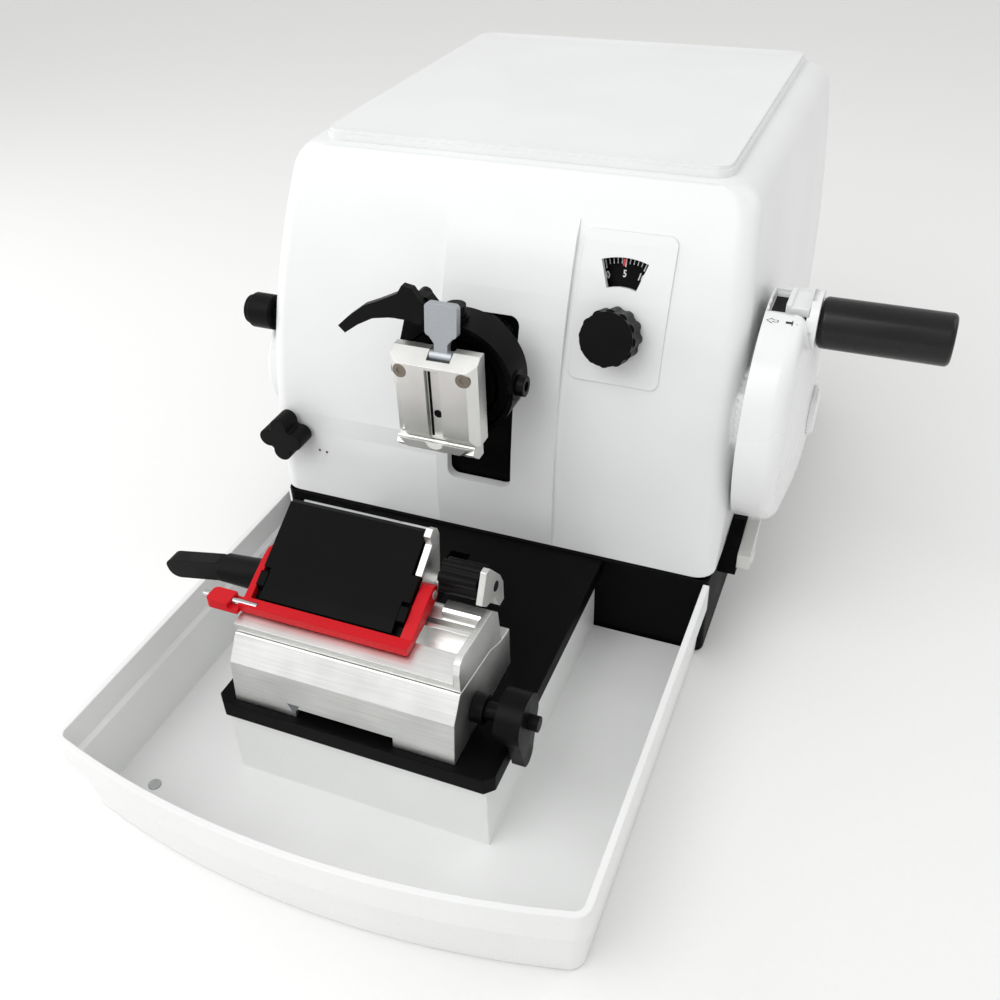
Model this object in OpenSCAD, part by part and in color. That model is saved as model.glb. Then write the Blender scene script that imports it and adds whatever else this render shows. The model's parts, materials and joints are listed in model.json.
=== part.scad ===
// Rotary microtome: a manual bench instrument that cuts paraffin sections.
// Millimetres, +Z up. The origin lies on the bench below the middle of the
// machine's front plane. The operator stands at -Y and turns the wheel at +X.

/* [Base] */
// Width of the cast base
base_w = 300; // [296:1:306]
// Depth of the cast base behind the front plane
base_d = 345; // [340:1:350]
// Height of the cast base above the bench
base_h = 60; // [59:0.5:61]
// Height that the rubber pads lift the casting
pad_lift = 0.5; // [0.3:0.1:1]
// Width of the stage that carries the blade holder
stage_w = 165; // [162:1:166]
// Length of the stage in front of the front plane
stage_l = 187; // [186:1:190]
// Thickness of the stage plate
stage_t = 11; // [10:0.5:12]

/* [Housing] */
// Height of the housing without its lid
housing_top = 285; // [283:0.5:287]
// Half width of the housing at its foot
housing_half_low = 151.5; // [150.5:0.5:152]
// Half width that the housing's sides lead up to at its top
housing_half_high = 144.5; // [144:0.5:145]
// Bulge of the housing's sides halfway up
housing_belly = 5.2; // [4.6:0.2:5.4]
// Wall thickness of the housing
wall = 3; // [2.5:0.1:3.4]
// Radius of the housing's upright corners
corner_r = 12; // [11:0.5:13]
// Thickness of the lid
lid_t = 6; // [5:0.5:6.5]
// Half width of the lid
lid_half = 127; // [125:0.5:127.5]

/* [Handwheel] */
// Height of the main shaft above the bench
wheel_z = 156.4; // [156:0.1:157]
// Distance of the main shaft behind the front plane
wheel_y = 61.5; // [61:0.1:62]
// Radius of the handwheel
wheel_r = 69; // [68:0.5:70]
// Inner face of the handwheel
wheel_x0 = 157; // [156.5:0.1:157.5]
// Width of the handwheel
wheel_t = 24.3; // [24:0.1:25]
// Distance of the handle from the main shaft
handle_arm = 57; // [56:0.5:57.5]
// Diameter of the handle grip
grip_d = 29; // [27:0.5:30]
// Length of the handle grip
grip_l = 70.3; // [68.3:1:74.3]
// Diameter of the main shaft
shaft_d = 18; // [17:0.5:18.5]

/* [Specimen head] */
// Height of the specimen ram at the top of its stroke
head_z = 188; // [187:0.5:189]
// Sideways place of the ram axis
ram_x = -1.5; // [-2:0.1:-1]
// Diameter of the ram
ram_d = 36; // [34:1:37]
// Vertical stroke of the specimen
stroke = 60; // [56:1:60]
// Width of the specimen clamp
clamp_w = 52; // [50:1:54]

/* [Blade holder] */
// Sideways place of the middle of the blade holder
holder_x = -5.4; // [-6:0.1:-5]
// Width of the blade holder
holder_w = 132; // [130:1:133]
// Front foot of the blade holder
holder_y0 = -183; // [-183.5:0.1:-182.5]
// Width of the blade pressure plate
plate_w = 79; // [77:1:80]
// Height of the cutting edge
edge_z = 143; // [142.8:0.1:143.2]
// Distance of the cutting edge in front of the front plane
edge_y = -102; // [-102.2:0.1:-101.8]

/* [Waste tray] */
// Half width of the tray
tray_half = 151; // [150:0.5:151.5]
// Front corner of the tray
tray_corner_y = -240; // [-242:1:-238]
// Bulge of the tray's front wall past its corners
tray_bulge = 21; // [18:1:22]
// Wall thickness of the tray
tray_wall = 4; // [3.5:0.1:4.5]
// Height of the tray's rim
tray_h = 59.5; // [58:0.5:59.5]

/* [Controls] */
// Sideways place of the section thickness knob
dial_x = 77.5; // [76:0.5:79]
// Height of the section thickness knob
dial_z = 205; // [204:0.5:206]
// Diameter of the section thickness knob
dial_knob_d = 33; // [30:1:35]
// Radius of the coarse feed wheel
coarse_r = 40; // [38:1:41]

/* [Hidden] */
$fn = 48;

white = "#e4e4e2";
black = "#141414";
satin = "#c3c5c4";
steel = "#9a9ea1";
grey_iron = "#6a6d6e";
red = "#c1121c";

// Clearances
fit = 0.05;
gap = 0.3;

// Base
plinth_t = 2;
tongue_half = 74;
tongue_y = -180;
pocket_half = 128;
pocket_floor = 12;
stage_z0 = base_h - stage_t;
tslot_half = 6.5;
tslot_head_half = 10.5;
tslot_neck_z = base_h - 4.5;
tslot_floor_z = base_h - 9.3;
tslot_y = [-stage_l + 8, -24];
pad_d = 26;
pad_h = 4;
plug_d = 7;
pad_places = [[-128, 22], [128, 22], [-128, base_d - 22],
    [128, base_d - 22], [-52, -155], [52, -155]];

// Housing: the front is a cubic Bezier curve in the YZ plane
foot_z = base_h + plinth_t;
front_ctrl = [[0, foot_z], [4, 125], [12, 198], [63, housing_top - 1]];
housing_back = base_d - 7;
shoulder_r = 16;
back_edge_r = 7;
front_steps = 16;
panel_t = 1.2;
slot_x = [-23, 20];
slot_z = [100, 208];

// Handwheel and drive
handle_z = wheel_z + handle_arm;
wheel_x1 = wheel_x0 + wheel_t;
wheel_dome = 7;
handle_boss = 4;
crank_x = 62;
crank_t = 12;
crank_r = stroke / 2;
pin_d = 10;
block_x = [84, 126];
coarse_y = 60;
coarse_z = 136;
coarse_x = -154.4;
coarse_t = 9;
brake_y = 38.5;
brake_z = 57;
side_knob_y = 30;
side_knob_z = 181;
stem_d = 8;
trim_x = -138;
trim_z = 111;

// Specimen head
slide_x = [-46, 42];
slide_y = [84, 136];
rail_x = [-52, 34];
rail_w = 14;
rail_t = 8;
rail_y = 144;
frame_y = 152;
ram_back = 137;
nut_d = 14;
shutter_gap = 5;
shutter_t = 3;
cup_r = 36;
cup_bore_r = 33;
head_y = -18;
cup_front = head_y - 8;
cup_back = head_y + 15;
ring_r = 32;
ring_bore_r = 26;
core_r = 24.5;
trunnion_d = 6;
screw_d = 12;
clamp_x = -4;
clamp_h = 27;
clamp_back = head_y - 17;
clamp_front = head_y - 32;
jaw_y = -42;
release_x = -1;
release_y = -39.5;
release_z = 211;
lock_x = -24;
lock_z = 231;

// Blade holder
holder_x0 = holder_x - holder_w / 2;
holder_x1 = holder_x + holder_w / 2;
slide_lift = 0.1;
cradle_r = 56;
segment_gap = 0.4;
cradle_a0 = 15;
cradle_a1 = 31;
blade_t = 0.26;
plate_x0 = holder_x - plate_w / 2 - 18;
plate_x1 = plate_x0 + plate_w;
carriage_x = [plate_x0 - 5, plate_x1 + 5];
plate_slope = 32;
plate_l = 61;
plate_pivot = [50, -2];
side_gap = 0.3;
segment_swing = 8;
rib_z = 118;
guard_y = -128;
guard_z = 121;
pressure_y = -129;
pressure_z = 103.5;
rod_y0 = -160.5;
rod_z0 = 112;
roller_y = -117;
roller_z = 127;
lever_y = -156;
lever_z = 76.8;

function bezier(p, t) =
    pow(1 - t, 3) * p[0] + 3 * pow(1 - t, 2) * t * p[1]
    + 3 * (1 - t) * t * t * p[2] + pow(t, 3) * p[3];
function bezier_slope(p, t) =
    3 * pow(1 - t, 2) * (p[1] - p[0]) + 6 * (1 - t) * t * (p[2] - p[1])
    + 3 * t * t * (p[3] - p[2]);
function unit(v) = v / norm(v);
front_pts = [for (i = [0:front_steps]) bezier(front_ctrl, i / front_steps)];
// Half width of the housing at a height
function half_at(z) = let (u = (z - foot_z) / (housing_top - foot_z))
    housing_half_low - (housing_half_low - housing_half_high) * u
    + 4 * housing_belly * u * (1 - u);
// One level outline of a rounded box: half width w, from y0 to y1
function ring_at(w, y0, y1, r, z, n) = [
    for (c = [[1, 1, 0], [-1, 1, 90], [-1, -1, 180], [1, -1, 270]])
        for (i = [0:n])
            let (a = c[2] + 90 * i / n)
                [c[0] * (w - r) + r * cos(a),
                 (c[1] > 0 ? y1 - r : y0 + r) + r * sin(a), z]];
// Bezier parameter at which the front reaches a height, by bisection
function front_t(z, lo = 0, hi = 1, n = 24) =
    n == 0 ? (lo + hi) / 2
    : let (m = (lo + hi) / 2)
        bezier(front_ctrl, m)[1] < z ? front_t(z, m, hi, n - 1)
        : front_t(z, lo, m, n - 1);
function front_y(z) = bezier(front_ctrl, front_t(z))[0];
// Corner points of the front between two heights, with both ends
function front_line(z0, z1) =
    concat([[line_y(z0), z0]],
        [for (p = front_pts) if (p[1] > z0 && p[1] < z1) p],
        [[line_y(z1), z1]]);
function line_y(z) = lookup(z, [for (p = front_pts) [p[1], p[0]]]);

dial_t = front_t(dial_z);
dial_dir = unit(bezier_slope(front_ctrl, dial_t));
dial_lean = 90 - atan2(dial_dir[0], dial_dir[1]);

// A closed skin over a stack of outlines with equal point counts
module skin(rings) {
    n = len(rings[0]);
    m = len(rings);
    polyhedron(
        points = [for (r = rings) each r],
        faces = concat(
            [[for (i = [0:n - 1]) i]],
            [[for (i = [n - 1:-1:0]) (m - 1) * n + i]],
            [for (j = [0:m - 2], i = [0:n - 1])
                [j * n + i, (j + 1) * n + i, j * n + (i + 1) % n]],
            [for (j = [0:m - 2], i = [0:n - 1])
                [j * n + (i + 1) % n, (j + 1) * n + i,
                 (j + 1) * n + (i + 1) % n]]));
}

// Extrudes a YZ outline along X
module slab_x(x0, x1) {
    translate([x0, 0, 0])
        rotate([90, 0, 90])
            linear_extrude(x1 - x0) children();
}

// Extrudes an XZ outline along Y
module slab_y(y0, y1) {
    translate([0, y1, 0])
        rotate([90, 0, 0])
            linear_extrude(y1 - y0) children();
}

module rod_x(x0, x1, y, z, d) {
    translate([x0, y, z]) rotate([0, 90, 0]) cylinder(h = x1 - x0, d = d);
}

module rod_y(y0, y1, x, z, d) {
    translate([x, y0, z]) rotate([-90, 0, 0]) cylinder(h = y1 - y0, d = d);
}

module rod_z(z0, z1, x, y, d) {
    translate([x, y, z0]) cylinder(h = z1 - z0, d = d);
}

// Box between two corners
module span(x, y, z) {
    translate([x[0], y[0], z[0]]) cube([x[1] - x[0], y[1] - y[0], z[1] - z[0]]);
}

// Rectangle with true round corners
module round_rect(x, y, r) {
    translate([x[0] + r, y[0]]) square([x[1] - x[0] - 2 * r, y[1] - y[0]]);
    translate([x[0], y[0] + r]) square([x[1] - x[0], y[1] - y[0] - 2 * r]);
    for (cx = [x[0] + r, x[1] - r], cy = [y[0] + r, y[1] - r])
        translate([cx, cy]) circle(r);
}

// Upright block with true round corners
module round_block(x, y, z, r) {
    translate([0, 0, z[0]])
        linear_extrude(z[1] - z[0]) round_rect(x, y, r);
}

// Puts children on the housing front, +Z outwards along the knob axis
module on_dial(lift = 0) {
    translate([dial_x, front_y(dial_z), dial_z])
        rotate([dial_lean, 0, 0])
            translate([0, 0, lift]) children();
}

// ---------------------------------------------------------------- base

module base_casting() {
    color(black)
        difference() {
            union() {
                round_block([-base_w / 2, base_w / 2], [0, base_d],
                    [pad_lift, base_h], 6);
                round_block([-tongue_half, tongue_half], [tongue_y, 20],
                    [pad_lift, stage_z0], 8);
                round_block([-base_w / 2 + 1.5, base_w / 2 - 1.5],
                    [1.5, base_d - 1.5], [base_h - 1, foot_z], 12);
            }
            span([-pocket_half, pocket_half], [22, base_d - 22],
                [pocket_floor, foot_z + 1]);
            // well that the lowered dust shutter dips into
            span([slot_x[0] - 5, slot_x[1] + 5], [5.5, 23], [30, foot_z + 1]);
            for (p = pad_places)
                rod_z(0, pad_h, p[0], p[1], pad_d);
        }
}

module base_pads() {
    color(black)
        for (p = pad_places)
            rod_z(0, pad_h, p[0], p[1], pad_d);
}

module stage_plate() {
    h = stage_w / 2;
    color(black)
        difference() {
            translate([0, 0, stage_z0])
                linear_extrude(stage_t)
                    polygon([[-h, 0], [-h, -stage_l + 5], [-h + 5, -stage_l],
                        [h - 5, -stage_l], [h, -stage_l + 5], [h, 0]]);
            span([holder_x - tslot_half, holder_x + tslot_half], tslot_y,
                [tslot_floor_z + 1, base_h + 1]);
            span([holder_x - tslot_head_half, holder_x + tslot_head_half],
                tslot_y, [tslot_floor_z, tslot_neck_z]);
        }
}

// ---------------------------------------------------------- inner frame

module main_frame() {
    color(grey_iron)
        difference() {
            union() {
                round_block([-70, 70], [frame_y - 12, 232],
                    [pocket_floor, 24], 6);
                span([-60, 56], [frame_y, frame_y + 14], [23, 262]);
                for (x = [-58, 46])
                    slab_x(x, x + 8)
                        polygon([[frame_y + 13, 23], [226, 23],
                            [frame_y + 13, 230]]);
            }
            rod_y(frame_y - 1, frame_y + 15, ram_x, head_z, 44);
            rod_y(frame_y - 1, frame_y + 15, ram_x, head_z - stroke, 44);
            span([ram_x - 22, ram_x + 22], [frame_y - 1, frame_y + 15],
                [head_z - stroke, head_z]);
        }
}

module guide_rails() {
    color(steel)
        for (x = rail_x)
            span([x, x + rail_w], [rail_y, rail_y + rail_t], [40, 258]);
}

module bearing_block() {
    color(grey_iron)
        difference() {
            union() {
                span(block_x, [36, 87], [pocket_floor, wheel_z]);
                rod_x(block_x[0], block_x[1], wheel_y, wheel_z, 51);
            }
            rod_x(block_x[0] - 1, block_x[1] + 1, wheel_y, wheel_z, 26);
            span([block_x[0] + 12, block_x[1] - 12], [30, 90], [40, 112]);
        }
}

module shaft_bushes() {
    color("#b08d57")
        for (x = [block_x[0], block_x[1] - 16])
            difference() {
                rod_x(x, x + 16, wheel_y, wheel_z, 26);
                rod_x(x - 1, x + 17, wheel_y, wheel_z, shaft_d + 2 * fit);
            }
}

module coarse_bearing() {
    color(grey_iron)
        difference() {
            union() {
                span([-124, -104], [coarse_y - 14, coarse_y + 14],
                    [pocket_floor, coarse_z]);
                rod_x(-124, -104, coarse_y, coarse_z, 28);
            }
            rod_x(-125, -103, coarse_y, coarse_z, 12 + 2 * fit);
        }
}

// ------------------------------------------------------------- housing

// How far a round edge of radius r, ending at a height, has drawn in at z
function drawn_in(z, end, r) =
    r - sqrt(max(0, r * r - pow(max(0, z - end + r), 2)));
// One level of the outer or, with an inset, of the inner skin
function housing_ring(inset, z, low = 0) = let (top = housing_top - inset)
    ring_at(
        half_at(z) - inset - drawn_in(z, top, shoulder_r - inset),
        line_y(z) + inset * 1.1,
        housing_back - inset - drawn_in(z, top, back_edge_r - inset),
        corner_r - inset * 0.5, z - low, 5);
// Levels at the corners of the front, then in equal turns over the shoulder
function housing_rings(inset) = let (
    r = shoulder_r - inset,
    z0 = housing_top - shoulder_r)
    concat([housing_ring(inset, foot_z, inset > 0 ? 2 : 0)],
        [for (p = front_pts) if (p[1] > foot_z && p[1] < z0 - 1)
            housing_ring(inset, p[1])],
        [for (a = [0:15:75]) housing_ring(inset, z0 + r * sin(a))]);

module housing_outer() {
    skin(concat(housing_rings(0),
        [ring_at(half_at(housing_top) - shoulder_r,
            front_ctrl[3][0] + 5,
            housing_back - back_edge_r, corner_r, housing_top, 5)]));
}

module housing_inner() {
    skin(concat(housing_rings(wall), [housing_ring(wall, housing_top - wall)]));
}

// Raised middle panel of the front, from foot to shoulder
module housing_rib() {
    rise = 3;
    last = front_pts[front_steps - 1];
    back = front_pts[front_steps - 2];
    slab_x(-31, 48)
        polygon(concat(
            [for (i = [0:front_steps - 2])
                front_pts[i] - [rise * min(1, i / 2), 0]],
            [last + [2, 0], back + [20, 0]],
            [for (i = [front_steps - 4:-1:0]) front_pts[i] + [2, 0]]));
}

module housing() {
    color(white)
        difference() {
            union() {
                housing_outer();
                housing_rib();
                // round boss behind the handwheel
                rod_x(half_at(wheel_z) - wall, wheel_x0 - 1, wheel_y,
                    wheel_z, 92);
            }
            housing_inner();
            // open back, closed by the rear cover
            span([-115, 115], [housing_back - 8, housing_back + 1],
                [foot_z + 22, housing_top - 33]);
            slab_y(-10, 60) round_rect(slot_x, slot_z, 6);
            on_dial(-12) cylinder(h = 16, d = stem_d + 2 * fit);
            on_dial(-16) dial_window(20);
            rod_x(120, 160, wheel_y, wheel_z, 24);
            rod_x(-160, -120, coarse_y, coarse_z, 15);
            rod_x(-160, -120, side_knob_y, side_knob_z, stem_d + 2 * fit);
            rod_y(-5, 30, trim_x, trim_z, stem_d + 2 * fit);
        }
}

// Sector-shaped sight opening above the thickness knob
module dial_window(h) {
    linear_extrude(h)
        polygon([
            for (a = [-18.5:3.7:18.5]) 43.2 * [sin(a), cos(a)],
            for (a = [18.5:-7.4:-18.5]) 27 * [sin(a), cos(a)]]);
}

module dial_panel() {
    z = [178, 258];
    line = front_line(z[0], z[1]);
    n = len(line) - 1;
    color(white)
        difference() {
            intersection() {
                slab_x(51, 107)
                    polygon(concat(line,
                        [for (i = [n:-1:0]) line[i] - [panel_t, 0]]));
                slab_y(-20, 80) round_rect([52, 106], z, 5);
            }
            on_dial(-12) cylinder(h = 20, d = stem_d + 1);
            on_dial(-16) dial_window(26);
        }
}

module top_cover() {
    x = lid_half;
    y = [front_ctrl[3][0] + 7, housing_back - back_edge_r - 0.5];
    z = [housing_top, housing_top + lid_t];
    color(white)
        difference() {
            union() {
                round_block([-x, x], y, [z[0], z[1] - 2], 10);
                round_block([-x + 1.5, x - 1.5], y + [1.5, -1.5],
                    [z[0] + 1, z[1]], 9);
            }
            // recess with a sloping border
            skin([
                ring_at(x - 16, y[0] + 16, y[1] - 16, 4, z[1] - 2, 5),
                ring_at(x - 3.4, y[0] + 3.4, y[1] - 3.4, 8, z[1] + 0.1, 5)]);
        }
}

module rear_cover() {
    color(white)
        translate([0, housing_back, 0])
            difference() {
                slab_y(0, 3)
                    round_rect([-121, 121],
                        [foot_z + 12, housing_top - 21], 8);
                for (z = [96:12:156])
                    slab_y(-1, 4) round_rect([-60, 60], [z, z + 4], 1.9);
            }
}

module rear_screws() {
    color(steel)
        for (x = [-112, 0, 112], z = [foot_z + 17, housing_top - 27])
            rod_y(housing_back + 3, housing_back + 5.5, x, z, 7);
}

module brake_bracket() {
    x0 = base_w / 2;
    color(black)
        difference() {
            union() {
                span([x0, x0 + 11], [32, 64], [44, foot_z - 1]);
                slab_x(half_at(72) + gap, x0 + 11)
                    polygon([[32, 44], [64, 44], [64, 72], [54, 72],
                        [32, 63]]);
            }
            rod_x(x0 - 1, x0 + 12, brake_y, brake_z, 5 + 2 * fit);
        }
}

// ----------------------------------------------------------- handwheel

// Turns an outline of (radius, x) about the main shaft
module about_shaft() {
    translate([0, wheel_y, wheel_z])
        rotate([0, 90, 0])
            rotate_extrude($fn = 96) children();
}

module handwheel() {
    r = wheel_r;
    f = 9;
    color(white)
        difference() {
            union() {
                about_shaft()
                    difference() {
                        union() {
                            translate([0, wheel_x0])
                                square([r, wheel_t - f]);
                            translate([0, wheel_x0])
                                square([r - f, wheel_t]);
                            translate([r - f, wheel_x1 - f]) circle(f);
                            // domed face with a flat seat for the cap
                            polygon(concat(
                                [[0, wheel_x1 - 1], [0, wheel_x1 + wheel_dome]],
                                [for (i = [0:8]) [16 + (r - f - 16) * i / 8,
                                    wheel_x1 + wheel_dome * (1 - i * i / 64)]],
                                [[r - f, wheel_x1 - 1]]));
                        }
                        translate([27, wheel_x0 - 1]) square([33, 17]);
                    }
                rod_x(wheel_x0 + 4, wheel_x1, wheel_y, handle_z, 30);
                rod_x(wheel_x1 - 2, wheel_x1 + handle_boss, wheel_y, handle_z,
                    36);
            }
            rod_x(wheel_x0 - 1, wheel_x1 + 1, wheel_y, wheel_z, shaft_d);
            rod_x(wheel_x0 + 6, wheel_x1 + handle_boss + 1, wheel_y,
                handle_z, 12);
            span([158.6, 180.4], [46, 73], [wheel_z + wheel_r - 5.4, 240]);
        }
}

module hub_cap() {
    color(white)
        translate([wheel_x1 + wheel_dome, wheel_y, wheel_z])
            rotate([0, 90, 0])
                union() {
                    cylinder(h = 2, r = 15);
                    cylinder(h = 3.2, r = 13.5);
                }
}

module main_shaft() {
    color(steel) {
        rod_x(crank_x, wheel_x1, wheel_y, wheel_z, shaft_d);
        rod_x(block_x[1] + gap, block_x[1] + 6, wheel_y, wheel_z, 27);
    }
}

module crank_disc() {
    color(grey_iron)
        difference() {
            union() {
                rod_x(crank_x, crank_x + crank_t, wheel_y, wheel_z, 74);
                rod_x(crank_x - 3, crank_x + 1, wheel_y,
                    wheel_z + crank_r, pin_d);
            }
            rod_x(crank_x - 1, crank_x + crank_t + 1, wheel_y, wheel_z,
                shaft_d);
        }
}

module handle_spindle() {
    color(steel)
        rod_x(wheel_x0 + 6, wheel_x1 + handle_boss + grip_l - 6, wheel_y,
            handle_z, 12);
}

// Crescent weight opposite the handle, so that the wheel stops anywhere
module wheel_weight() {
    color(grey_iron)
        difference() {
            rod_x(wheel_x0 + 4, wheel_x0 + 16, wheel_y, wheel_z, 116);
            rod_x(wheel_x0 + 3, wheel_x0 + 17, wheel_y, wheel_z, 70);
            span([wheel_x0, wheel_x0 + 20], [wheel_y - 70, wheel_y + 70],
                [wheel_z - 26, wheel_z + 70]);
        }
}

module handle_grip() {
    x0 = wheel_x1 + handle_boss + gap;
    l = grip_l;
    r = grip_d / 2;
    color(black)
        translate([x0, wheel_y, handle_z])
            rotate([0, 90, 0])
                difference() {
                    rotate_extrude($fn = 64)
                        union() {
                            square([r - 3, l]);
                            translate([0, 3]) square([r, l - 6]);
                            translate([r - 3, 3]) circle(3, $fn = 32);
                            translate([r - 3, l - 3]) circle(3, $fn = 32);
                        }
                    translate([0, 0, -1])
                        cylinder(h = l - 5, d = 12 + 2 * fit);
                }
}

module lock_slider() {
    z0 = wheel_z + wheel_r - 5.3;
    color(white)
        union() {
            span([167, 180], [50, 72.5], [z0, z0 + 5]);
            span([167, 170], [50, 72.5], [z0 + 4, z0 + 6.5]);
        }
}

// ------------------------------------------------------ vertical slide

module vertical_slide() {
    z = [head_z - 38, head_z + 38];
    plate_z = z + [-10, 10];
    back = rail_y - 0.2;
    color(grey_iron)
        difference() {
            union() {
                span(slide_x, slide_y, z);
                span([rail_x[0] - 6, rail_x[1] + rail_w + 6],
                    [slide_y[1] - 1, back], plate_z);
                // lips on both sides of each rail
                for (x = rail_x, side = [x - gap - 5.4, x + rail_w + gap])
                    span([side, side + 5.4], [back - 1, frame_y - gap],
                        plate_z);
            }
            rod_y(slide_y[0] - 1, ram_back + 1, ram_x, head_z,
                ram_d + 2 * fit);
            rod_y(ram_back, frame_y, ram_x, head_z, nut_d + 2 * fit);
        }
}

module yoke_plate() {
    pin_z = wheel_z + crank_r;
    x = slide_x[1];
    color(steel)
        difference() {
            union() {
                span([x, x + 14], [104, 130], [pin_z - 14, pin_z + 14]);
                span([x + 6, x + 14], [31, 130],
                    [pin_z - 13, pin_z + 11]);
            }
            span([x + 5, x + 15], [30, 97],
                [pin_z - pin_d / 2 - gap, pin_z + pin_d / 2 + gap]);
            // room for the dial at the top of the stroke
            span([x + 5, x + 15], [30, 35.5], [pin_z, pin_z + 12]);
        }
}

module dust_shutter() {
    x = [slot_x[0] - 2.5, slot_x[1] + 2];
    strut_z = head_z - 28;
    line = front_line(slot_z[0] - 2, slot_z[1] + stroke);
    n = len(line) - 1;
    y0 = shutter_gap + shutter_t / 2;
    color(black)
        difference() {
            slab_x(x[0], x[1])
                polygon(concat(
                    [for (p = line) p + [shutter_gap, 0]],
                    [for (i = [n:-1:0]) line[i]
                        + [shutter_gap + shutter_t, 0]]));
            rod_y(0, slide_y[0], ram_x, head_z, ram_d + 1);
        }
    color(black)
        for (dx = [-18, 18])
            rod_y(front_y(strut_z) + y0, slide_y[0], ram_x + dx, strut_z, 6);
}

// ----------------------------------------------------- ram and its head

module feed_ram() {
    color(steel)
        difference() {
            rod_y(cup_back, ram_back, ram_x, head_z, ram_d);
            rod_y(60, ram_back + 1, ram_x, head_z, nut_d + 2);
        }
}

module feed_screw() {
    color(steel) {
        rod_y(64, 150, ram_x, head_z, nut_d);
        rod_y(150, 156, ram_x, head_z, 34);
    }
}

module orient_cup() {
    color(black)
        difference() {
            union() {
                rod_y(cup_front, cup_back, ram_x, head_z, 2 * cup_r);
                // bosses of the two side screws and of the top screw
                for (s = [-1, 1])
                    rod_x(ram_x - 20 + s * (cup_r - 20),
                        ram_x + 20 + s * (cup_r - 20), head_y, head_z, 18);
                rod_z(head_z + 30, head_z + cup_r + 2.5, ram_x, head_y, 15);
                // ear of the lock lever
                span([lock_x - 10, lock_x + 10], [cup_front, cup_back - 2],
                    [head_z + 20, lock_z + 7]);
            }
            rod_y(cup_front - 2, cup_back - 5, ram_x, head_z,
                2 * cup_bore_r);
            rod_z(head_z - cup_r + 1, head_z + cup_r - 1, ram_x, head_y,
                trunnion_d + 2 * fit);
            rod_y(cup_front - 1, cup_back, lock_x, lock_z, stem_d + 2 * fit);
        }
}

module orient_screws() {
    color(black) {
        for (x = [ram_x - cup_r - 5, ram_x + cup_r])
            difference() {
                rod_x(x, x + 5, head_y, head_z, screw_d);
                rod_x(x < 0 ? x - 1 : x + 2.5, x < 0 ? x + 2.5 : x + 6,
                    head_y, head_z, 6);
            }
        rod_z(head_z + cup_r + 2.5, head_z + cup_r + 8.5, ram_x, head_y,
            screw_d);
    }
}

module tilt_ring() {
    color(steel)
        difference() {
            union() {
                rod_y(head_y - 5, head_y + 5, ram_x, head_z, 2 * ring_r);
                for (z = [head_z - cup_r + 1.5, head_z + ring_r - 1])
                    rod_z(z, z + cup_r - ring_r - 0.5, ram_x, head_y,
                        trunnion_d);
            }
            rod_y(head_y - 6, head_y + 6, ram_x, head_z, 2 * ring_bore_r);
            rod_x(ram_x - ring_r - 1, ram_x + ring_r + 1, head_y, head_z,
                trunnion_d + 2 * fit);
        }
}

module tilt_core() {
    color(steel)
        union() {
            rod_y(head_y - 8, head_y + 4, ram_x, head_z, 2 * core_r);
            rod_x(ram_x - ring_r + 1, ram_x + ring_r - 1, head_y, head_z,
                trunnion_d);
            rod_y(clamp_back, head_y - 7, ram_x, head_z, 30);
        }
}

// Fixed body of the universal cassette clamp
module clamp_body() {
    h = clamp_w / 2;
    z = [head_z - clamp_h, head_z + clamp_h];
    y = [clamp_front, clamp_back];
    color(satin)
        difference() {
            slab_x(clamp_x - h, clamp_x + h)
                polygon([[y[1], z[0]], [y[1], z[1]], [y[0] + 10, z[1]],
                    [y[0], z[1] - 6], [y[0], z[0] + 5], [y[0] + 3, z[0]]]);
            // bevelled sides
            for (s = [-1, 1])
                translate([clamp_x + s * h, y[0], 0])
                    rotate([0, 0, 45])
                        translate([-3.5, -3.5, z[0] - 1])
                            cube([7, 7, z[1] - z[0] + 2]);
            // step on the left, below the upper block
            span([clamp_x - h - 1, clamp_x - h + 7], [y[0] - 1, y[0] + 7],
                [z[0] - 1, head_z + 6]);
            // groove that takes the cassette edge
            span([clamp_x - 4, clamp_x + 5], [y[0] - 1, y[0] + 4],
                [z[0] - 1, z[1] - 8]);
            rod_y(y[0], y[1] - 3, clamp_x + 1, head_z - 10, 5);
            for (s = [-1, 1]) {
                rod_y(y[0] - 1, y[0] + 2, clamp_x + s * 19, head_z + 16,
                    8.5);
                // bores of the lower jaw's guide pins
                rod_z(z[0] - 1, z[0] + 20, clamp_x + s * 14, jaw_y,
                    5 + 2 * fit);
            }
            // notch and bore of the release lever
            span([release_x - 7, release_x + 7], [y[0] + 4, y[1] + 1],
                [release_z - 5, z[1] + 1]);
            rod_x(release_x - 11, release_x + 11, release_y, release_z,
                4 + 2 * fit);
        }
}

module clamp_screws() {
    color(steel)
        for (s = [-1, 1])
            difference() {
                rod_y(clamp_front + 0.5, clamp_front + 2, clamp_x + s * 19,
                    head_z + 16, 8.5);
                rod_y(clamp_front, clamp_front + 1.1, clamp_x + s * 19,
                    head_z + 16, 3.6);
            }
}

// Lower jaw, drawn down by the release lever
module clamp_jaw() {
    z1 = head_z - clamp_h - 0.4;
    y = [clamp_front, clamp_back - 0.4];
    color(satin)
        union() {
            slab_x(clamp_x - 25, clamp_x + 23)
                polygon([[y[1], z1], [y[0] + 3, z1], [y[0], z1 - 4],
                    [y[0] + 3, z1 - 7], [y[0] + 8, z1 - 11],
                    [y[1], z1 - 11]]);
            for (s = [-1, 1])
                rod_z(z1 - 1, z1 + 17, clamp_x + s * 14, jaw_y, 5);
        }
}

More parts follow.
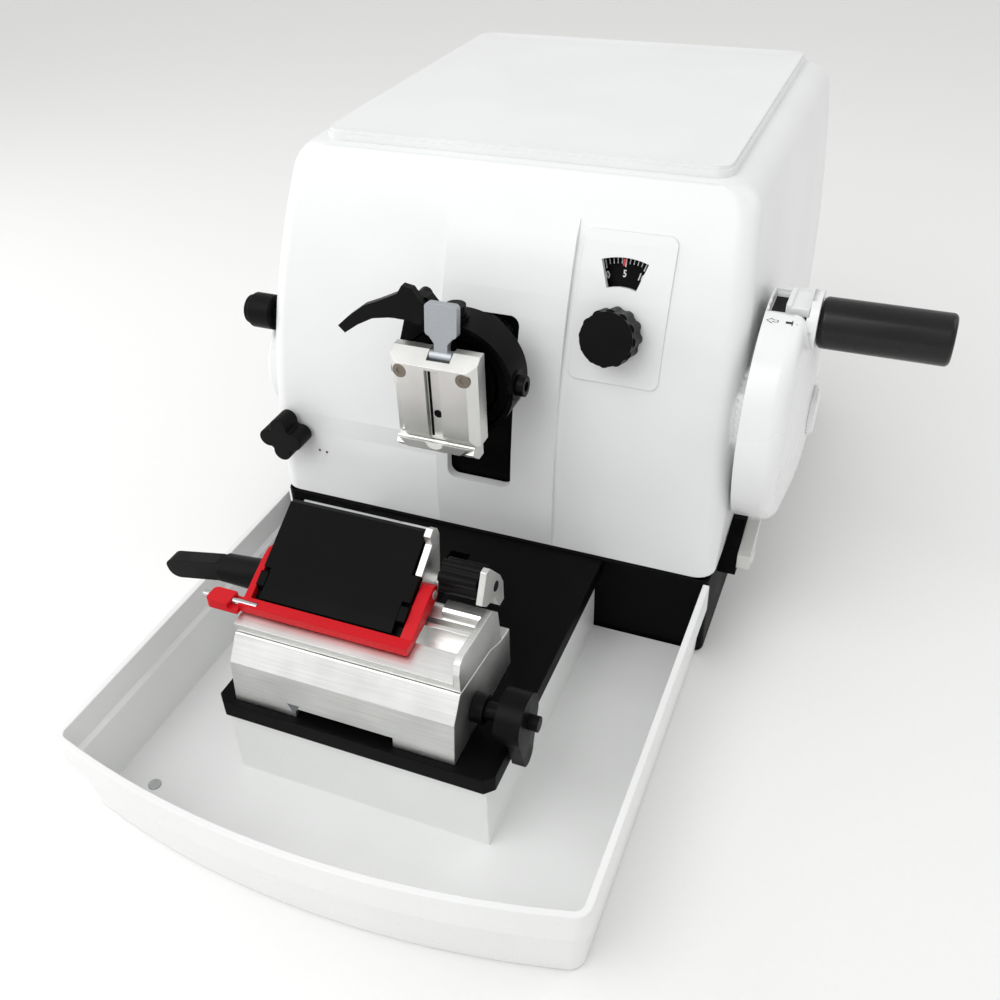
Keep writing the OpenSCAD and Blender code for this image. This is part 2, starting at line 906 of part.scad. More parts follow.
module clamp_lever() {
    x = release_x;
    color("#a9adb0")
        union() {
            rod_x(x - 6.6, x + 6.6, release_y, release_z, 8);
            rod_x(x - 10.6, x + 10.6, release_y, release_z, 4);
            translate([0, release_y, release_z])
                rotate([-8, 0, 0])
                    slab_y(-2.5, 2.5) {
                        polygon([[x - 9.5, 15], [x - 4, 8], [x - 4, 0],
                            [x + 4, 0], [x + 4, 8], [x + 9.5, 15]]);
                        round_rect([x - 9.5, x + 9.5], [12, 30.5], 2.5);
                    }
        }
}

// Curved lever that locks the orientation
module orient_lever() {
    y = [cup_front - 5.3, cup_front - gap];
    color(black)
        union() {
            rod_y(y[0], y[1], lock_x, lock_z, 20);
            rod_y(y[1] - 1, cup_back - 4, lock_x, lock_z, stem_d);
            translate([lock_x, 0, lock_z])
                slab_y(y[0], y[1])
                    polygon([[-46, -16], [-39, -9.5], [-28, -1], [-19, 3],
                        [-10, 7.5], [-6, 9.5], [-3, 14.5], [3, 13.5],
                        [9, 5], [0, 0], [-6, -5.5], [-13, -6], [-23, -8],
                        [-33, -13.5], [-42, -20]]);
        }
}

// ------------------------------------------------------------ controls

module coarse_wheel() {
    color(white)
        difference() {
            translate([coarse_x, coarse_y, coarse_z])
                rotate([0, -90, 0])
                    rotate_extrude($fn = 72)
                        difference() {
                            union() {
                                square([coarse_r - 3, coarse_t]);
                                square([coarse_r, coarse_t - 3]);
                                translate([coarse_r - 3, coarse_t - 3])
                                    circle(3, $fn = 32);
                            }
                            translate([12, coarse_t - 3]) square([20, 5]);
                        }
            rod_x(coarse_x - coarse_t - 1, coarse_x + 1, coarse_y, coarse_z,
                12);
        }
}

module coarse_shaft() {
    color(steel) {
        rod_x(coarse_x - coarse_t, -60, coarse_y, coarse_z, 12);
        rod_x(-74, -60, coarse_y, coarse_z, 30);
    }
}

module side_knob() {
    color(black) {
        rod_x(-170, -154.5, side_knob_y, side_knob_z, 23);
        rod_x(-174, -169, side_knob_y, side_knob_z, 19);
        rod_x(-155.5, -124, side_knob_y, side_knob_z, stem_d);
    }
}

module thickness_knob() {
    r = dial_knob_d / 2;
    lobes = 12;
    color(black)
        on_dial(2)
            union() {
                cylinder(h = 19, r = r - 1.2);
                for (i = [0:lobes - 1])
                    rotate([0, 0, i * 360 / lobes])
                        translate([r - 3.5, 0, 0])
                            cylinder(h = 16, r = 3.5);
            }
}

// Shallow cone that follows the bend of the front behind the window
module thickness_dial() {
    color(black)
        on_dial()
            union() {
                rotate_extrude($fn = 96)
                    polygon([[stem_d / 2 - 1, -5], [46, -10.95], [46, -12.45],
                        [stem_d / 2 - 1, -6.5]]);
                translate([0, 0, -14]) cylinder(h = 16, d = stem_d);
            }
}

module trim_knob() {
    arms = 4;
    h = 15;
    r = 6.2;
    color(black)
        translate([trim_x, front_y(trim_z) - 3, trim_z])
            rotate([90, 0, 0])
                union() {
                    cylinder(h = h, r = 9.6);
                    for (i = [0:arms - 1])
                        rotate([0, 0, i * 360 / arms]) {
                            translate([0, -r, 0]) cube([9.4, 2 * r, h]);
                            translate([9.4, 0, 0]) cylinder(h = h, r = r);
                        }
                    translate([0, 0, -18]) cylinder(h = 19, d = stem_d);
                }
}

module brake_lever() {
    x0 = base_w / 2 + 11.3;
    color(steel) {
        slab_x(x0, x0 + 8)
            polygon([[30, 52], [45, 52], [64, 66], [64, 71], [58, 71],
                [30, 62]]);
        rod_x(x0, x0 + 9, brake_y, brake_z, 10);
        rod_x(base_w / 2 + 0.5, x0 + 1, brake_y, brake_z, 5);
    }
}

// ---------------------------------------------------------- waste tray

tray_arc_r = (tray_half * tray_half + tray_bulge * tray_bulge)
    / (2 * tray_bulge);

// One level of the tray, inset at its sides and front, with corner radius r
function tray_ring(side, front, r, z) = let (
    w = tray_half - side,
    cy = tray_corner_y - tray_bulge + front + tray_arc_r,
    ox = w - r,
    oy = cy - sqrt(pow(tray_arc_r - r, 2) - ox * ox),
    a = atan2(oy - cy, ox))
    concat([[w, -1.5, z], [-w, -1.5, z]],
        [for (i = [0:7]) let (b = 180 - a * i / 8)
            [-ox + r * cos(b), oy + r * sin(b), z]],
        [for (i = [0:24]) let (b = 180 - a + (180 + 2 * a) * i / 24)
            [tray_arc_r * cos(b), cy + tray_arc_r * sin(b), z]],
        [for (i = [1:8]) let (b = a - a * i / 8)
            [ox + r * cos(b), oy + r * sin(b), z]]);

module tray() {
    hump = [tongue_half + gap, tongue_half + 4];
    front = tongue_y - gap;
    hump_top = stage_z0 - gap;
    t = tray_wall;
    color(white)
        difference() {
            skin([tray_ring(5, 9, 9, pad_lift), tray_ring(3, 4, 9, 38),
                tray_ring(0, 0, 9, 40), tray_ring(0, 0, 9, tray_h)]);
            difference() {
                skin([tray_ring(5 + t, 9 + t, 5, pad_lift + 3),
                    tray_ring(3 + t, 4 + t, 5, 40),
                    tray_ring(t, t, 5, 42), tray_ring(t, t, 5, tray_h + 1)]);
                span([-hump[1], hump[1]], [front - 4, 5], [0, hump_top]);
            }
            // room for the casting's tongue, open behind and above
            span([-hump[0], hump[0]], [front, 5], [-1, tray_h + 1]);
            span([-stage_w / 2 - 1, stage_w / 2 + 1], [-20, 5],
                [hump_top, tray_h + 1]);
            rod_z(pad_lift + 1.5, 5, -118, -214.5, plug_d);
        }
}

module tray_plug() {
    color(satin)
        rod_z(pad_lift + 1.5, pad_lift + 3.5, -118, -214.5, plug_d);
}

// -------------------------------------------------------- blade holder

// Points of the arc about the cutting edge, from angle a0 to a1
function edge_arc(r, a0, a1, n) = [
    for (i = [0:n])
        let (a = a0 + (a1 - a0) * i / n)
            [edge_y - r * sin(a), edge_z - r * cos(a)]];
// Point at a distance down the blade's slope and a depth below its plane
function knife(down, deep) = [
    edge_y - down * cos(plate_slope) + deep * sin(plate_slope),
    edge_z - down * sin(plate_slope) - deep * cos(plate_slope)];
// Lower face of the segment in front of its arc
function flat_z(y) = edge_z - cradle_r * cos(cradle_a1)
    + 0.14 * (edge_y - cradle_r * sin(cradle_a1) - y);
function segment_top(y) = 106 + (y + 170.5) * 7 / 44.5;

// Extrudes an outline drawn in the blade's slope along X
module slope_x(x0, x1) {
    translate([0, edge_y, edge_z])
        slab_x(x0, x1) rotate(180 + plate_slope) children();
}

module holder_base() {
    z0 = base_h + slide_lift;
    back = cradle_a0 - segment_swing - 4;
    arc = edge_arc(cradle_r + segment_gap, cradle_a1, back, 10);
    color(satin)
        difference() {
            slab_x(holder_x0, holder_x1)
                polygon(concat(
                    [[arc[10][0], z0], [holder_y0, z0],
                     [holder_y0 + 2.5, 87],
                     [-171, flat_z(-171) - segment_gap]], arc));
            // relief under the front edge
            span([-33, 25], [holder_y0 - 1, holder_y0 + 12],
                [z0 - 1, z0 + 6]);
            rod_x(holder_x1 - 50, holder_x1 + 1, lever_y, lever_z,
                10 + 2 * fit);
        }
}

module holder_nut() {
    color(steel) {
        span([holder_x - 9.8, holder_x + 9.8], [-165, -115],
            [tslot_floor_z + 0.6, tslot_neck_z - 0.4]);
        span([holder_x - 5.9, holder_x + 5.9], [-165, -115],
            [tslot_neck_z - 1, base_h + slide_lift]);
    }
}

module holder_lever() {
    x = stage_w / 2 + 1.5;
    color(black) {
        rod_x(77, x + 7, lever_y, lever_z, 30);
        rod_x(x + 6, x + 13, lever_y, lever_z, 8.5);
        slab_x(x, x + 7) {
            polygon([[lever_y - 14, lever_z - 4], [lever_y - 8, 52],
                [lever_y + 6, 52], [lever_y + 14, lever_z - 4]]);
            translate([lever_y - 1, 53]) circle(7.2);
        }
    }
    color(satin) {
        rod_x(holder_x1 - 48, 78, lever_y, lever_z, 10);
        rod_x(holder_x1 + gap, 68, lever_y, lever_z, 16);
    }
}

// Tilts about the cutting edge to set the clearance angle
module clearance_segment() {
    cheek = [holder_x1 - 3.6, holder_x1];
    color(satin)
        difference() {
            union() {
                slab_x(holder_x0, holder_x1)
                    polygon(concat(
                        edge_arc(cradle_r, cradle_a0, cradle_a1, 6),
                        [[-170, flat_z(-170)], [-170.5, segment_top(-170.5)],
                         [-126, segment_top(-126)], [-120, 108],
                         [-118, 99]]));
                // end of the cross rail and the right cheek
                slab_x(holder_x1 - 25.6, cheek[0] + 1)
                    polygon([[-134, 108], [-134, rib_z - 1.5],
                        [-132.5, rib_z], [-126, rib_z], [-120, 108]]);
                slab_x(cheek[0], cheek[1])
                    polygon([[-170.5, 102], [-170.6, 113], [-168.5, 118.5],
                        [-164, 121], [-150, 119.5], [-127, rib_z + 0.5],
                        [-119.7, 111.6], [-118, 99], [-140, 100]]);
            }
            // sight recess over the clamp spindle
            span([28, 55], [-153, -141], [101.5, 120]);
            // guide groove of the carriage
            span([holder_x0 - 1, cheek[0] - 1], [-138.5, -135], [106, 120]);
            rod_x(holder_x0 - 1, holder_x0 + 20, pressure_y, pressure_z,
                stem_d + 2 * fit);
        }
}

module blade_carriage() {
    x = carriage_x;
    color(satin)
        difference() {
            union() {
                slab_x(x[0], x[1])
                    polygon([knife(1.2, blade_t / 2), knife(60, blade_t / 2),
                        [-156, segment_top(-156) + slide_lift],
                        [-125.5, segment_top(-125.5) + slide_lift],
                        [-118.3, 112.2], [-113, 109.8], [-107, 109.8],
                        [-105.2, 122]]);
                span([x[0] + 4, x[1] - 4], [-138, -135.5], [106.5, 115]);
                // ears of the pressure plate
                for (e = [x[0], plate_x1 + 0.4])
                    slope_x(e, e + 4.6)
                        polygon([[44, blade_t / 2], [56, blade_t / 2],
                            [54, -4.8], [46, -4.8]]);
                // pivot pins of the guard
                rod_x(x[0] - 4.6, x[0] + 1, guard_y, guard_z, 5);
                rod_x(x[1] - 1, x[1] + 7.6, guard_y, guard_z, 5);
            }
            slope_x(x[0] - 1, x[1] + 1)
                translate(plate_pivot) circle(d = 3 + 2 * fit);
        }
}

module end_brackets() {
    plate = [plate_x1 + 39.4, plate_x1 + 42.9];
    color(satin) {
        // bearing plate of the shift roller
        difference() {
            slab_x(plate[0], plate[1])
                polygon([[-113, 110], [-107, 110], [-107, 122],
                    [-111, 130], [-124, 144.5], [-128, 144.5],
                    [-136, 129], [-130, 123.5], [-119, 121]]);
            rod_x(plate[0] - 1, plate[1] + 1, roller_y, roller_z,
                trunnion_d + 2 * fit);
        }
        span([carriage_x[1], plate[0] + 1], [-113, -107], [110, 115]);
        // angled backstop beside the blade
        slope_x(plate_x1 + 1, plate_x1 + 5)
            polygon([[28, blade_t / 2], [28, -2.5], [10, -3.2], [8, -9],
                [3, -9], [0.5, -4], [1.2, blade_t / 2]]);
    }
}

module blade() {
    t = blade_t / 2;
    color(steel)
        slope_x(plate_x0 + 1, plate_x1 - 1)
            polygon([[0, 0], [1.5, -t], [14, -t], [14, t], [1.5, t]]);
}

module pressure_plate() {
    color(black)
        union() {
            slope_x(plate_x0, plate_x1)
                polygon([[2, -0.3], [47, -0.3], [plate_l, -1.8],
                    [plate_l, -4.2], [54, -4.6], [4, -3.6], [1.5, -1]]);
            // wings over the carriage, clear of its ears and backstop
            slope_x(plate_x0 - 4.6, plate_x0 + 1)
                polygon([[2, -0.3], [43.4, -0.3], [43.4, -4.36], [4, -3.6],
                    [1.5, -1]]);
            slope_x(plate_x1 - 1, plate_x1 + 4.6)
                polygon([[28.6, -0.3], [43.4, -0.3], [43.4, -4.36],
                    [28.6, -4.07]]);
            slope_x(plate_x0 - 4.4, plate_x1 + 4.4)
                translate(plate_pivot) circle(d = 3);
        }
}

module blade_lever() {
    x = [holder_x0 - 33.6, holder_x0 - 7.6];
    color(black)
        union() {
            rod_x(x[0], x[1], pressure_y, pressure_z, 19);
            translate([x[0] + 2, pressure_y, pressure_z])
                rotate([0, -13, 0])
                    slab_y(-4.5, 4.5)
                        round_rect([-42, 3], [-8.5, 8.5], 7);
            rod_x(x[1] - 1, holder_x0 + 19.5, pressure_y, pressure_z,
                stem_d);
        }
}

module guard() {
    left = carriage_x[0] - side_gap;
    right = carriage_x[1] + side_gap;
    bar_y = [-163.5, -156.5];
    bar_z = [108.9, 113.5];
    color(red)
        difference() {
            union() {
                slab_x(left - 4, left) guard_arm(bar_y, bar_z);
                slab_x(right, right + 7) guard_arm(bar_y, bar_z);
                span([left - 4, right + 7], bar_y, bar_z);
                // grip tab with its notch
                span([left - 8.8, left - 3], [bar_y[0] - 3, bar_y[1] + 1],
                    [109, 111.5]);
                round_block([left - 22.8, left - 8.8],
                    [bar_y[0] - 3, bar_y[1] + 1], [109, 114.5], 3);
                span([left - 12, left - 8.8],
                    [bar_y[0] - 3, bar_y[1] + 1], [109, 114.5]);
            }
            rod_x(left - 5, right + 8, guard_y, guard_z, 5 + 2 * fit);
            rod_x(left - 30, left + 6.5, rod_y0, rod_z0, 4);
        }
}

// Outline of a guard arm from its pivot to the front bar
module guard_arm(bar_y, bar_z) {
    polygon([[guard_y + 4, guard_z + 3.5], [guard_y, guard_z + 5],
        [guard_y - 6, guard_z + 3.5], [bar_y[1], bar_z[1]],
        [bar_y[0], bar_z[1]], [bar_y[0], bar_z[0]], [bar_y[1], bar_z[0]],
        [guard_y, guard_z - 5], [guard_y + 4, guard_z - 3]]);
}

module guard_rod() {
    left = carriage_x[0] - side_gap;
    color(steel)
        rod_x(left - 27, left + 6.5, rod_y0, rod_z0, 4);
}

module shift_roller() {
    lobes = 6;
    length = 22;
    x0 = carriage_x[1] + 8.4;
    color(black)
        translate([x0, roller_y, roller_z])
            rotate([0, 90, 0])
                union() {
                    linear_extrude(length) {
                        circle(r = 8.2);
                        for (i = [0:lobes - 1])
                            rotate(i * 360 / lobes) translate([7, 0]) circle(r = 3);
                    }
                    translate([0, 0, length]) cylinder(h = 2.5, r = 6);
                    translate([0, 0, length + 2.5]) cylinder(h = 5.3, d = trunnion_d);
                }
}

base_casting();
base_pads();
stage_plate();
main_frame();
guide_rails();
bearing_block();
shaft_bushes();
coarse_bearing();
housing();
dial_panel();
top_cover();
rear_cover();
rear_screws();
brake_bracket();
handwheel();
hub_cap();
main_shaft();
crank_disc();
handle_spindle();
wheel_weight();
handle_grip();
lock_slider();
vertical_slide();
yoke_plate();
dust_shutter();
feed_ram();
orient_cup();
orient_screws();
feed_screw();
tilt_ring();
tilt_core();
clamp_body();
clamp_screws();
clamp_jaw();
clamp_lever();
orient_lever();
coarse_wheel();
coarse_shaft();
side_knob();
thickness_knob();
thickness_dial();
trim_knob();
brake_lever();
tray();
tray_plug();
holder_base();
holder_nut();
holder_lever();
clearance_segment();
blade_carriage();
end_brackets();
blade();
pressure_plate();
blade_lever();
guard();
guard_rod();
shift_roller();
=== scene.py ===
"""Looks for a manual rotary microtome: finishes, printed marks and softened edges round its CAD part.

Lengths are metres in the part's own frame: the origin lies on the bench below the middle of the machine's
front plane, the operator stands at -Y and turns the handwheel at +X.
"""

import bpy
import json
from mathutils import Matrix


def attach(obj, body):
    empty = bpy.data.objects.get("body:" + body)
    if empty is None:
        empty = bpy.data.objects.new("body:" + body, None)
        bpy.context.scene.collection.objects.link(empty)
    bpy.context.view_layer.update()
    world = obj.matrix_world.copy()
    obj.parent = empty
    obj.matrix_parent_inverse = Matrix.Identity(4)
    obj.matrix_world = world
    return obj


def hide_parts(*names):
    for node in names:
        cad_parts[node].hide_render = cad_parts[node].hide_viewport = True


bl_info = {
    "name": "Rotary Microtome Looks",
    "version": (1, 0, 0),
    "blender": (4, 5, 0),
    "location": "View3D > Sidebar > Microtome",
    "description": "Finishes, marks and stage for a manual rotary microtome",
    "category": "Object",
}

import json
import math

import bmesh
import bpy
import numpy as np
from mathutils import Matrix, Vector

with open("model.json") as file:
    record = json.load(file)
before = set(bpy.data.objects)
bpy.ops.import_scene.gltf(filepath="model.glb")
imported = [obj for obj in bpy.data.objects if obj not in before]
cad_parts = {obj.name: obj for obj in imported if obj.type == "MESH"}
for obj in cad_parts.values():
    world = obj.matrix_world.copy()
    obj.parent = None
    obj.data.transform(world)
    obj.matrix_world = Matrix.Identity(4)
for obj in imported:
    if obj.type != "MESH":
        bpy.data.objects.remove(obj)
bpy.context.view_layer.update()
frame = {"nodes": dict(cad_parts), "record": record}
MM = 0.001
EDGE_ROUND = 0.45 * MM
BODY_OF = {
    node: body for body, nodes in frame["record"]["behaviour"]["bodies"].items() for node in nodes
}
SLOT_OF = {part["node"]: part["material_slot"] for part in frame["record"]["subparts"]}


# ---------------------------------------------------------------- settings


class StageSettings(bpy.types.PropertyGroup):
    """What the floor, the lights and the camera can be set to."""

    floor_colour: bpy.props.StringProperty(
        name="Floor colour", description="sRGB hex value of the pale floor", default="F4F4F3"
    )
    key_power: bpy.props.FloatProperty(
        name="Key light", description="Power of the large soft light above", default=9.0, unit="POWER"
    )
    fill_power: bpy.props.FloatProperty(
        name="Fill light", description="Power of the soft light from the left", default=4.0, unit="POWER"
    )
    sky_strength: bpy.props.FloatProperty(
        name="Sky", description="Strength of the even light from all round", default=0.75
    )
    focal_length: bpy.props.FloatProperty(
        name="Focal length", description="Lens on a 36 mm wide sensor", default=37.643, unit="CAMERA"
    )


class FinishSettings(bpy.types.PropertyGroup):
    """The colours that a maker would change, as sRGB hex values."""

    shell: bpy.props.StringProperty(
        name="Shell", description="Moulded shell, lid and dial panel", default="EDEEEE"
    )
    tray: bpy.props.StringProperty(name="Tray", description="Waste tray", default="EEEFEE")
    wheel: bpy.props.StringProperty(
        name="Wheels", description="Stove enamel of the wheels", default="EEEFEF"
    )
    black: bpy.props.StringProperty(
        name="Black coat", description="Powder coat of the castings", default="080809"
    )
    guard: bpy.props.StringProperty(
        name="Guard", description="Enamel of the finger guard", default="CB0F1C"
    )
    lever: bpy.props.StringProperty(
        name="Clamp lever", description="Grey clamp release lever", default="B4B8BC"
    )


class DialSettings(bpy.types.PropertyGroup):
    """Sizes of the printed section thickness dial."""

    numeral_height: bpy.props.FloatProperty(
        name="Numeral height", description="Height of a printed numeral", default=3.9 * MM, unit="LENGTH"
    )
    numeral_radius: bpy.props.FloatProperty(
        name="Numeral radius",
        description="Circle on which the numerals stand",
        default=34.0 * MM,
        unit="LENGTH",
    )
    step_angle: bpy.props.FloatProperty(
        name="Step",
        description="Turn from one division to the next",
        default=math.radians(3.36),
        subtype="ANGLE",
    )
    line_width: bpy.props.FloatProperty(
        name="Line width", description="Width of a short division", default=0.55 * MM, unit="LENGTH"
    )


# ---------------------------------------------------------------- materials


def linear(hex_colour):
    """The linear RGBA of an sRGB hex colour such as F3F3F2."""
    channels = np.array([int(hex_colour[i : i + 2], 16) for i in (0, 2, 4)]) / 255
    low, high = channels / 12.92, ((channels + 0.055) / 1.055) ** 2.4
    return (*np.where(channels <= 0.04045, low, high).tolist(), 1.0)


def add(tree, kind, sockets=None, **settings):
    """Adds a node, gives it its settings, and sets or links each named input."""
    made = tree.nodes.new(kind)
    for name, value in settings.items():
        setattr(made, name, value)
    for name, value in (sockets or {}).items():
        if isinstance(value, bpy.types.NodeSocket):
            tree.links.new(value, made.inputs[name])
        else:
            made.inputs[name].default_value = value
    return made


def start_material(name, **values):
    """An empty material with a Principled shader set to values, and the Object coordinates. Its
    Bevel node eases every edge by EDGE_ROUND, as tumbling, coating or a mould's edge does."""
    made = bpy.data.materials.new(name)
    made.use_nodes = True
    tree = made.node_tree
    tree.nodes.clear()
    shader = add(tree, "ShaderNodeBsdfPrincipled", values)
    add(tree, "ShaderNodeOutputMaterial", {"Surface": shader.outputs[0]})
    add(tree, "ShaderNodeBevel", {"Radius": EDGE_ROUND}, name="eased", samples=4)
    place = add(tree, "ShaderNodeTexCoord").outputs["Object"]
    return made, tree, shader, place


def edge_wear(tree, noise, amount):
    """Near 0 on flat faces and up to amount on the eased edges, broken up by a noise: the mask of the lighter
    edges, partly edge wear and partly a painted highlight.
    """
    flat = add(tree, "ShaderNodeNewGeometry").outputs["Normal"]
    eased = tree.nodes["eased"].outputs[0]
    same = add(tree, "ShaderNodeVectorMath", {0: eased, 1: flat}, operation="DOT_PRODUCT")
    edge = add(
        tree,
        "ShaderNodeMapRange",
        {"Value": same.outputs["Value"], "From Min": 0.99, "From Max": 0.8, "To Min": 0.0, "To Max": amount},
    ).outputs[0]
    return add(tree, "ShaderNodeMath", {0: edge, 1: noise}, operation="MULTIPLY").outputs[0]


def worn(tree, colour, wear, bare):
    """A colour that gives way to the sRGB hex colour bare where the mask is high, so the edges come out
    lighter: partly wear, partly a painted highlight.
    """
    mixed = add(tree, "ShaderNodeMix", data_type="RGBA")
    tree.links.new(wear, mixed.inputs["Factor"])
    tree.links.new(colour, mixed.inputs[6])
    mixed.inputs[7].default_value = linear(bare)
    return mixed.outputs[2]


def grain(tree, place, size_mm, detail=2.0, stretch=(1, 1, 1)):
    """Noise whose lumps are size_mm across, longer along an axis whose stretch is above 1."""
    scale = [1 / (size_mm * MM * s) for s in stretch]
    mapped = add(tree, "ShaderNodeMapping", {"Vector": place, "Scale": scale})
    return add(
        tree, "ShaderNodeTexNoise", {"Vector": mapped.outputs[0], "Scale": 1.0, "Detail": detail}
    ).outputs["Fac"]


def spread(tree, fac, low, high):
    """A value that runs from low to high over the middle part of a noise."""
    return add(
        tree,
        "ShaderNodeMapRange",
        {"Value": fac, "From Min": 0.3, "From Max": 0.7, "To Min": low, "To Max": high},
    ).outputs[0]


def blend_colours(tree, fac, first, second):
    """A mix of two sRGB hex colours by a 0 to 1 value."""
    mixed = add(tree, "ShaderNodeMix", data_type="RGBA")
    tree.links.new(fac, mixed.inputs["Factor"])
    mixed.inputs[6].default_value = linear(first)
    mixed.inputs[7].default_value = linear(second)
    return mixed.outputs[2]


def bump(tree, shader, height, depth_mm, strength=1.0):
    """Raises the shader's surface by height times depth_mm."""
    raised = add(
        tree,
        "ShaderNodeBump",
        {
            "Height": height,
            "Distance": depth_mm * MM,
            "Strength": strength,
            "Normal": tree.nodes["eased"].outputs[0],
        },
    )
    tree.links.new(raised.outputs[0], shader.inputs["Normal"])


def shade(hex_colour, factor):
    """The same sRGB hex colour, darker or lighter by factor."""
    channels = [min(255, round(int(hex_colour[i : i + 2], 16) * factor)) for i in (0, 2, 4)]
    return "{:02X}{:02X}{:02X}".format(*channels)


def moulded_abs(name, colour, rough=0.34):
    """Injection moulded ABS: a fine spark-eroded skin, so highlights are broad and soft, and slow
    cloudy changes of tone over a hand's width that keep a large white face from looking flat."""
    made, tree, shader, place = start_material(name, IOR=1.54)
    cloud = grain(tree, place, 70, 3.0)
    tree.links.new(
        blend_colours(tree, spread(tree, cloud, 0, 1), shade(colour, 0.985), colour),
        shader.inputs["Base Color"],
    )
    skin = grain(tree, place, 1.1, 4.0)
    tree.links.new(spread(tree, skin, rough - 0.03, rough + 0.04), shader.inputs["Roughness"])
    bump(tree, shader, skin, 0.02, 0.5)
    return made


def stove_enamel(name, colour, rough=0.24, shine=0.5):
    """Sprayed and stoved enamel on cast metal: a glossy coat with the long low waves of orange peel."""
    made, tree, shader, place = start_material(
        name, **{"IOR": 1.52, "Specular IOR Level": shine, "Coat Weight": shine * 0.5, "Coat Roughness": 0.12}
    )
    peel = grain(tree, place, 3.2, 1.0)
    cloud = grain(tree, place, 45, 2.0)
    tree.links.new(
        blend_colours(tree, spread(tree, cloud, 0, 1), shade(colour, 0.98), colour),
        shader.inputs["Base Color"],
    )
    tree.links.new(spread(tree, cloud, rough, rough + 0.06), shader.inputs["Roughness"])
    bump(tree, shader, peel, 0.03, 0.35)
    return made


def powder_coat(name, colour, rough=0.5, lump_mm=0.9):
    """Fine-textured powder coat: tiny fused lumps break the gloss into a soft sheen, and the coat's colour is
    painted a little lighter on the crowns than in the hollows, as painted light and shade. The lumps are drawn
    coarser than real to show."""
    made, tree, shader, place = start_material(name, **{"IOR": 1.5, "Specular IOR Level": 0.07})
    lumps = grain(tree, place, lump_mm, 3.0)
    dust = grain(tree, place, 38, 3.0)
    # Painted light and shade: lighter on the lumps' crowns and darker in their hollows, varied by the slow dust
    # noise.
    painted_crown_light = add(tree, "ShaderNodeMath", {0: lumps, 1: dust}, operation="MULTIPLY").outputs[0]
    coat = blend_colours(tree, spread(tree, painted_crown_light, 0, 1), shade(colour, 0.8), shade(colour, 1.3))
    # Painted highlight: the eased edges are lightened towards a dark grey, partly as edge wear and partly as
    # light caught on the rounding.
    rubbed_and_highlit = worn(tree, coat, edge_wear(tree, dust, 0.5), shade(colour, 4.0))
    tree.links.new(rubbed_and_highlit, shader.inputs["Base Color"])
    tree.links.new(spread(tree, dust, rough - 0.05, rough + 0.08), shader.inputs["Roughness"])
    bump(tree, shader, lumps, 0.05, 0.6)
    return made


def filled_nylon(name, colour, rough=0.42, shine=0.1):
    """Glass-filled nylon or phenolic, moulded: near black with a fine dull skin and faint flow marks."""
    made, tree, shader, place = start_material(name, **{"IOR": 1.53, "Specular IOR Level": shine})
    skin = grain(tree, place, 0.7, 3.0)
    flow = grain(tree, place, 14, 2.0, (1.6, 1, 1))
    tree.links.new(
        blend_colours(tree, spread(tree, flow, 0, 1), shade(colour, 0.85), shade(colour, 1.25)),
        shader.inputs["Base Color"],
    )
    tree.links.new(spread(tree, flow, rough - 0.06, rough + 0.08), shader.inputs["Roughness"])
    bump(tree, shader, skin, 0.025, 0.5)
    return made


def metal(name, colour, rough, line_mm, stretch, depth_mm=0.012, twist=0.0):
    """Bare or anodised metal whose tool lines run along the stretched axis: they spread each
    highlight across the lines, and tone and gloss wander a little over a few centimetres."""
    made, tree, shader, place = start_material(name, Metallic=1.0)
    shader.inputs["Anisotropic"].default_value = twist
    lines = grain(tree, place, line_mm, 2.0, stretch)
    cloud = grain(tree, place, 26, 2.0)
    both = add(tree, "ShaderNodeMath", {0: lines, 1: cloud}, operation="ADD").outputs[0]
    half = add(tree, "ShaderNodeMath", {0: both, 1: 0.5}, operation="MULTIPLY").outputs[0]
    tree.links.new(
        blend_colours(tree, spread(tree, half, 0, 1), shade(colour, 0.93), shade(colour, 1.04)),
        shader.inputs["Base Color"],
    )
    tree.links.new(spread(tree, half, rough - 0.05, rough + 0.07), shader.inputs["Roughness"])
    bump(tree, shader, lines, depth_mm, 0.6)
    return made


def grey_iron(name, colour):
    """Ground cast iron: dull grey with dark graphite specks half a millimetre across."""
    made, tree, shader, place = start_material(name, Metallic=0.8)
    specks = grain(tree, place, 0.8, 4.0)
    tree.links.new(
        blend_colours(tree, spread(tree, specks, 0, 1), shade(colour, 0.6), colour),
        shader.inputs["Base Color"],
    )
    tree.links.new(spread(tree, specks, 0.62, 0.45), shader.inputs["Roughness"])
    bump(tree, shader, specks, 0.03, 0.5)
    return made


def soft_rubber(name, colour):
    """Moulded nitrile rubber: matt, slightly dusty, with a fine pebbled skin."""
    made, tree, shader, place = start_material(name, IOR=1.52)
    pebble = grain(tree, place, 0.9, 2.0)
    tree.links.new(
        blend_colours(tree, spread(tree, pebble, 0, 1), colour, shade(colour, 1.5)),
        shader.inputs["Base Color"],
    )
    tree.links.new(spread(tree, pebble, 0.72, 0.85), shader.inputs["Roughness"])
    bump(tree, shader, pebble, 0.05, 0.6)
    return made


def screen_ink(name, colour):
    """Screen-printed ink: an even film, thinner at its grain, with a slight gloss."""
    made, tree, shader, place = start_material(name, IOR=1.5)
    film = grain(tree, place, 0.5, 2.0)
    tree.links.new(
        blend_colours(tree, spread(tree, film, 0, 1), shade(colour, 0.94), colour),
        shader.inputs["Base Color"],
    )
    tree.links.new(spread(tree, film, 0.38, 0.5), shader.inputs["Roughness"])
    return made


def pale_floor(name, colour):
    """Matt painted floor board, plain and pale, with a barely visible roller texture."""
    made, tree, shader, place = start_material(name, IOR=1.45)
    nap = grain(tree, place, 4, 2.0)
    tree.links.new(
        blend_colours(tree, spread(tree, nap, 0, 1), shade(colour, 0.995), colour),
        shader.inputs["Base Color"],
    )
    shader.inputs["Roughness"].default_value = 0.75
    bump(tree, shader, nap, 0.02, 0.2)
    return made


FINISH = {}


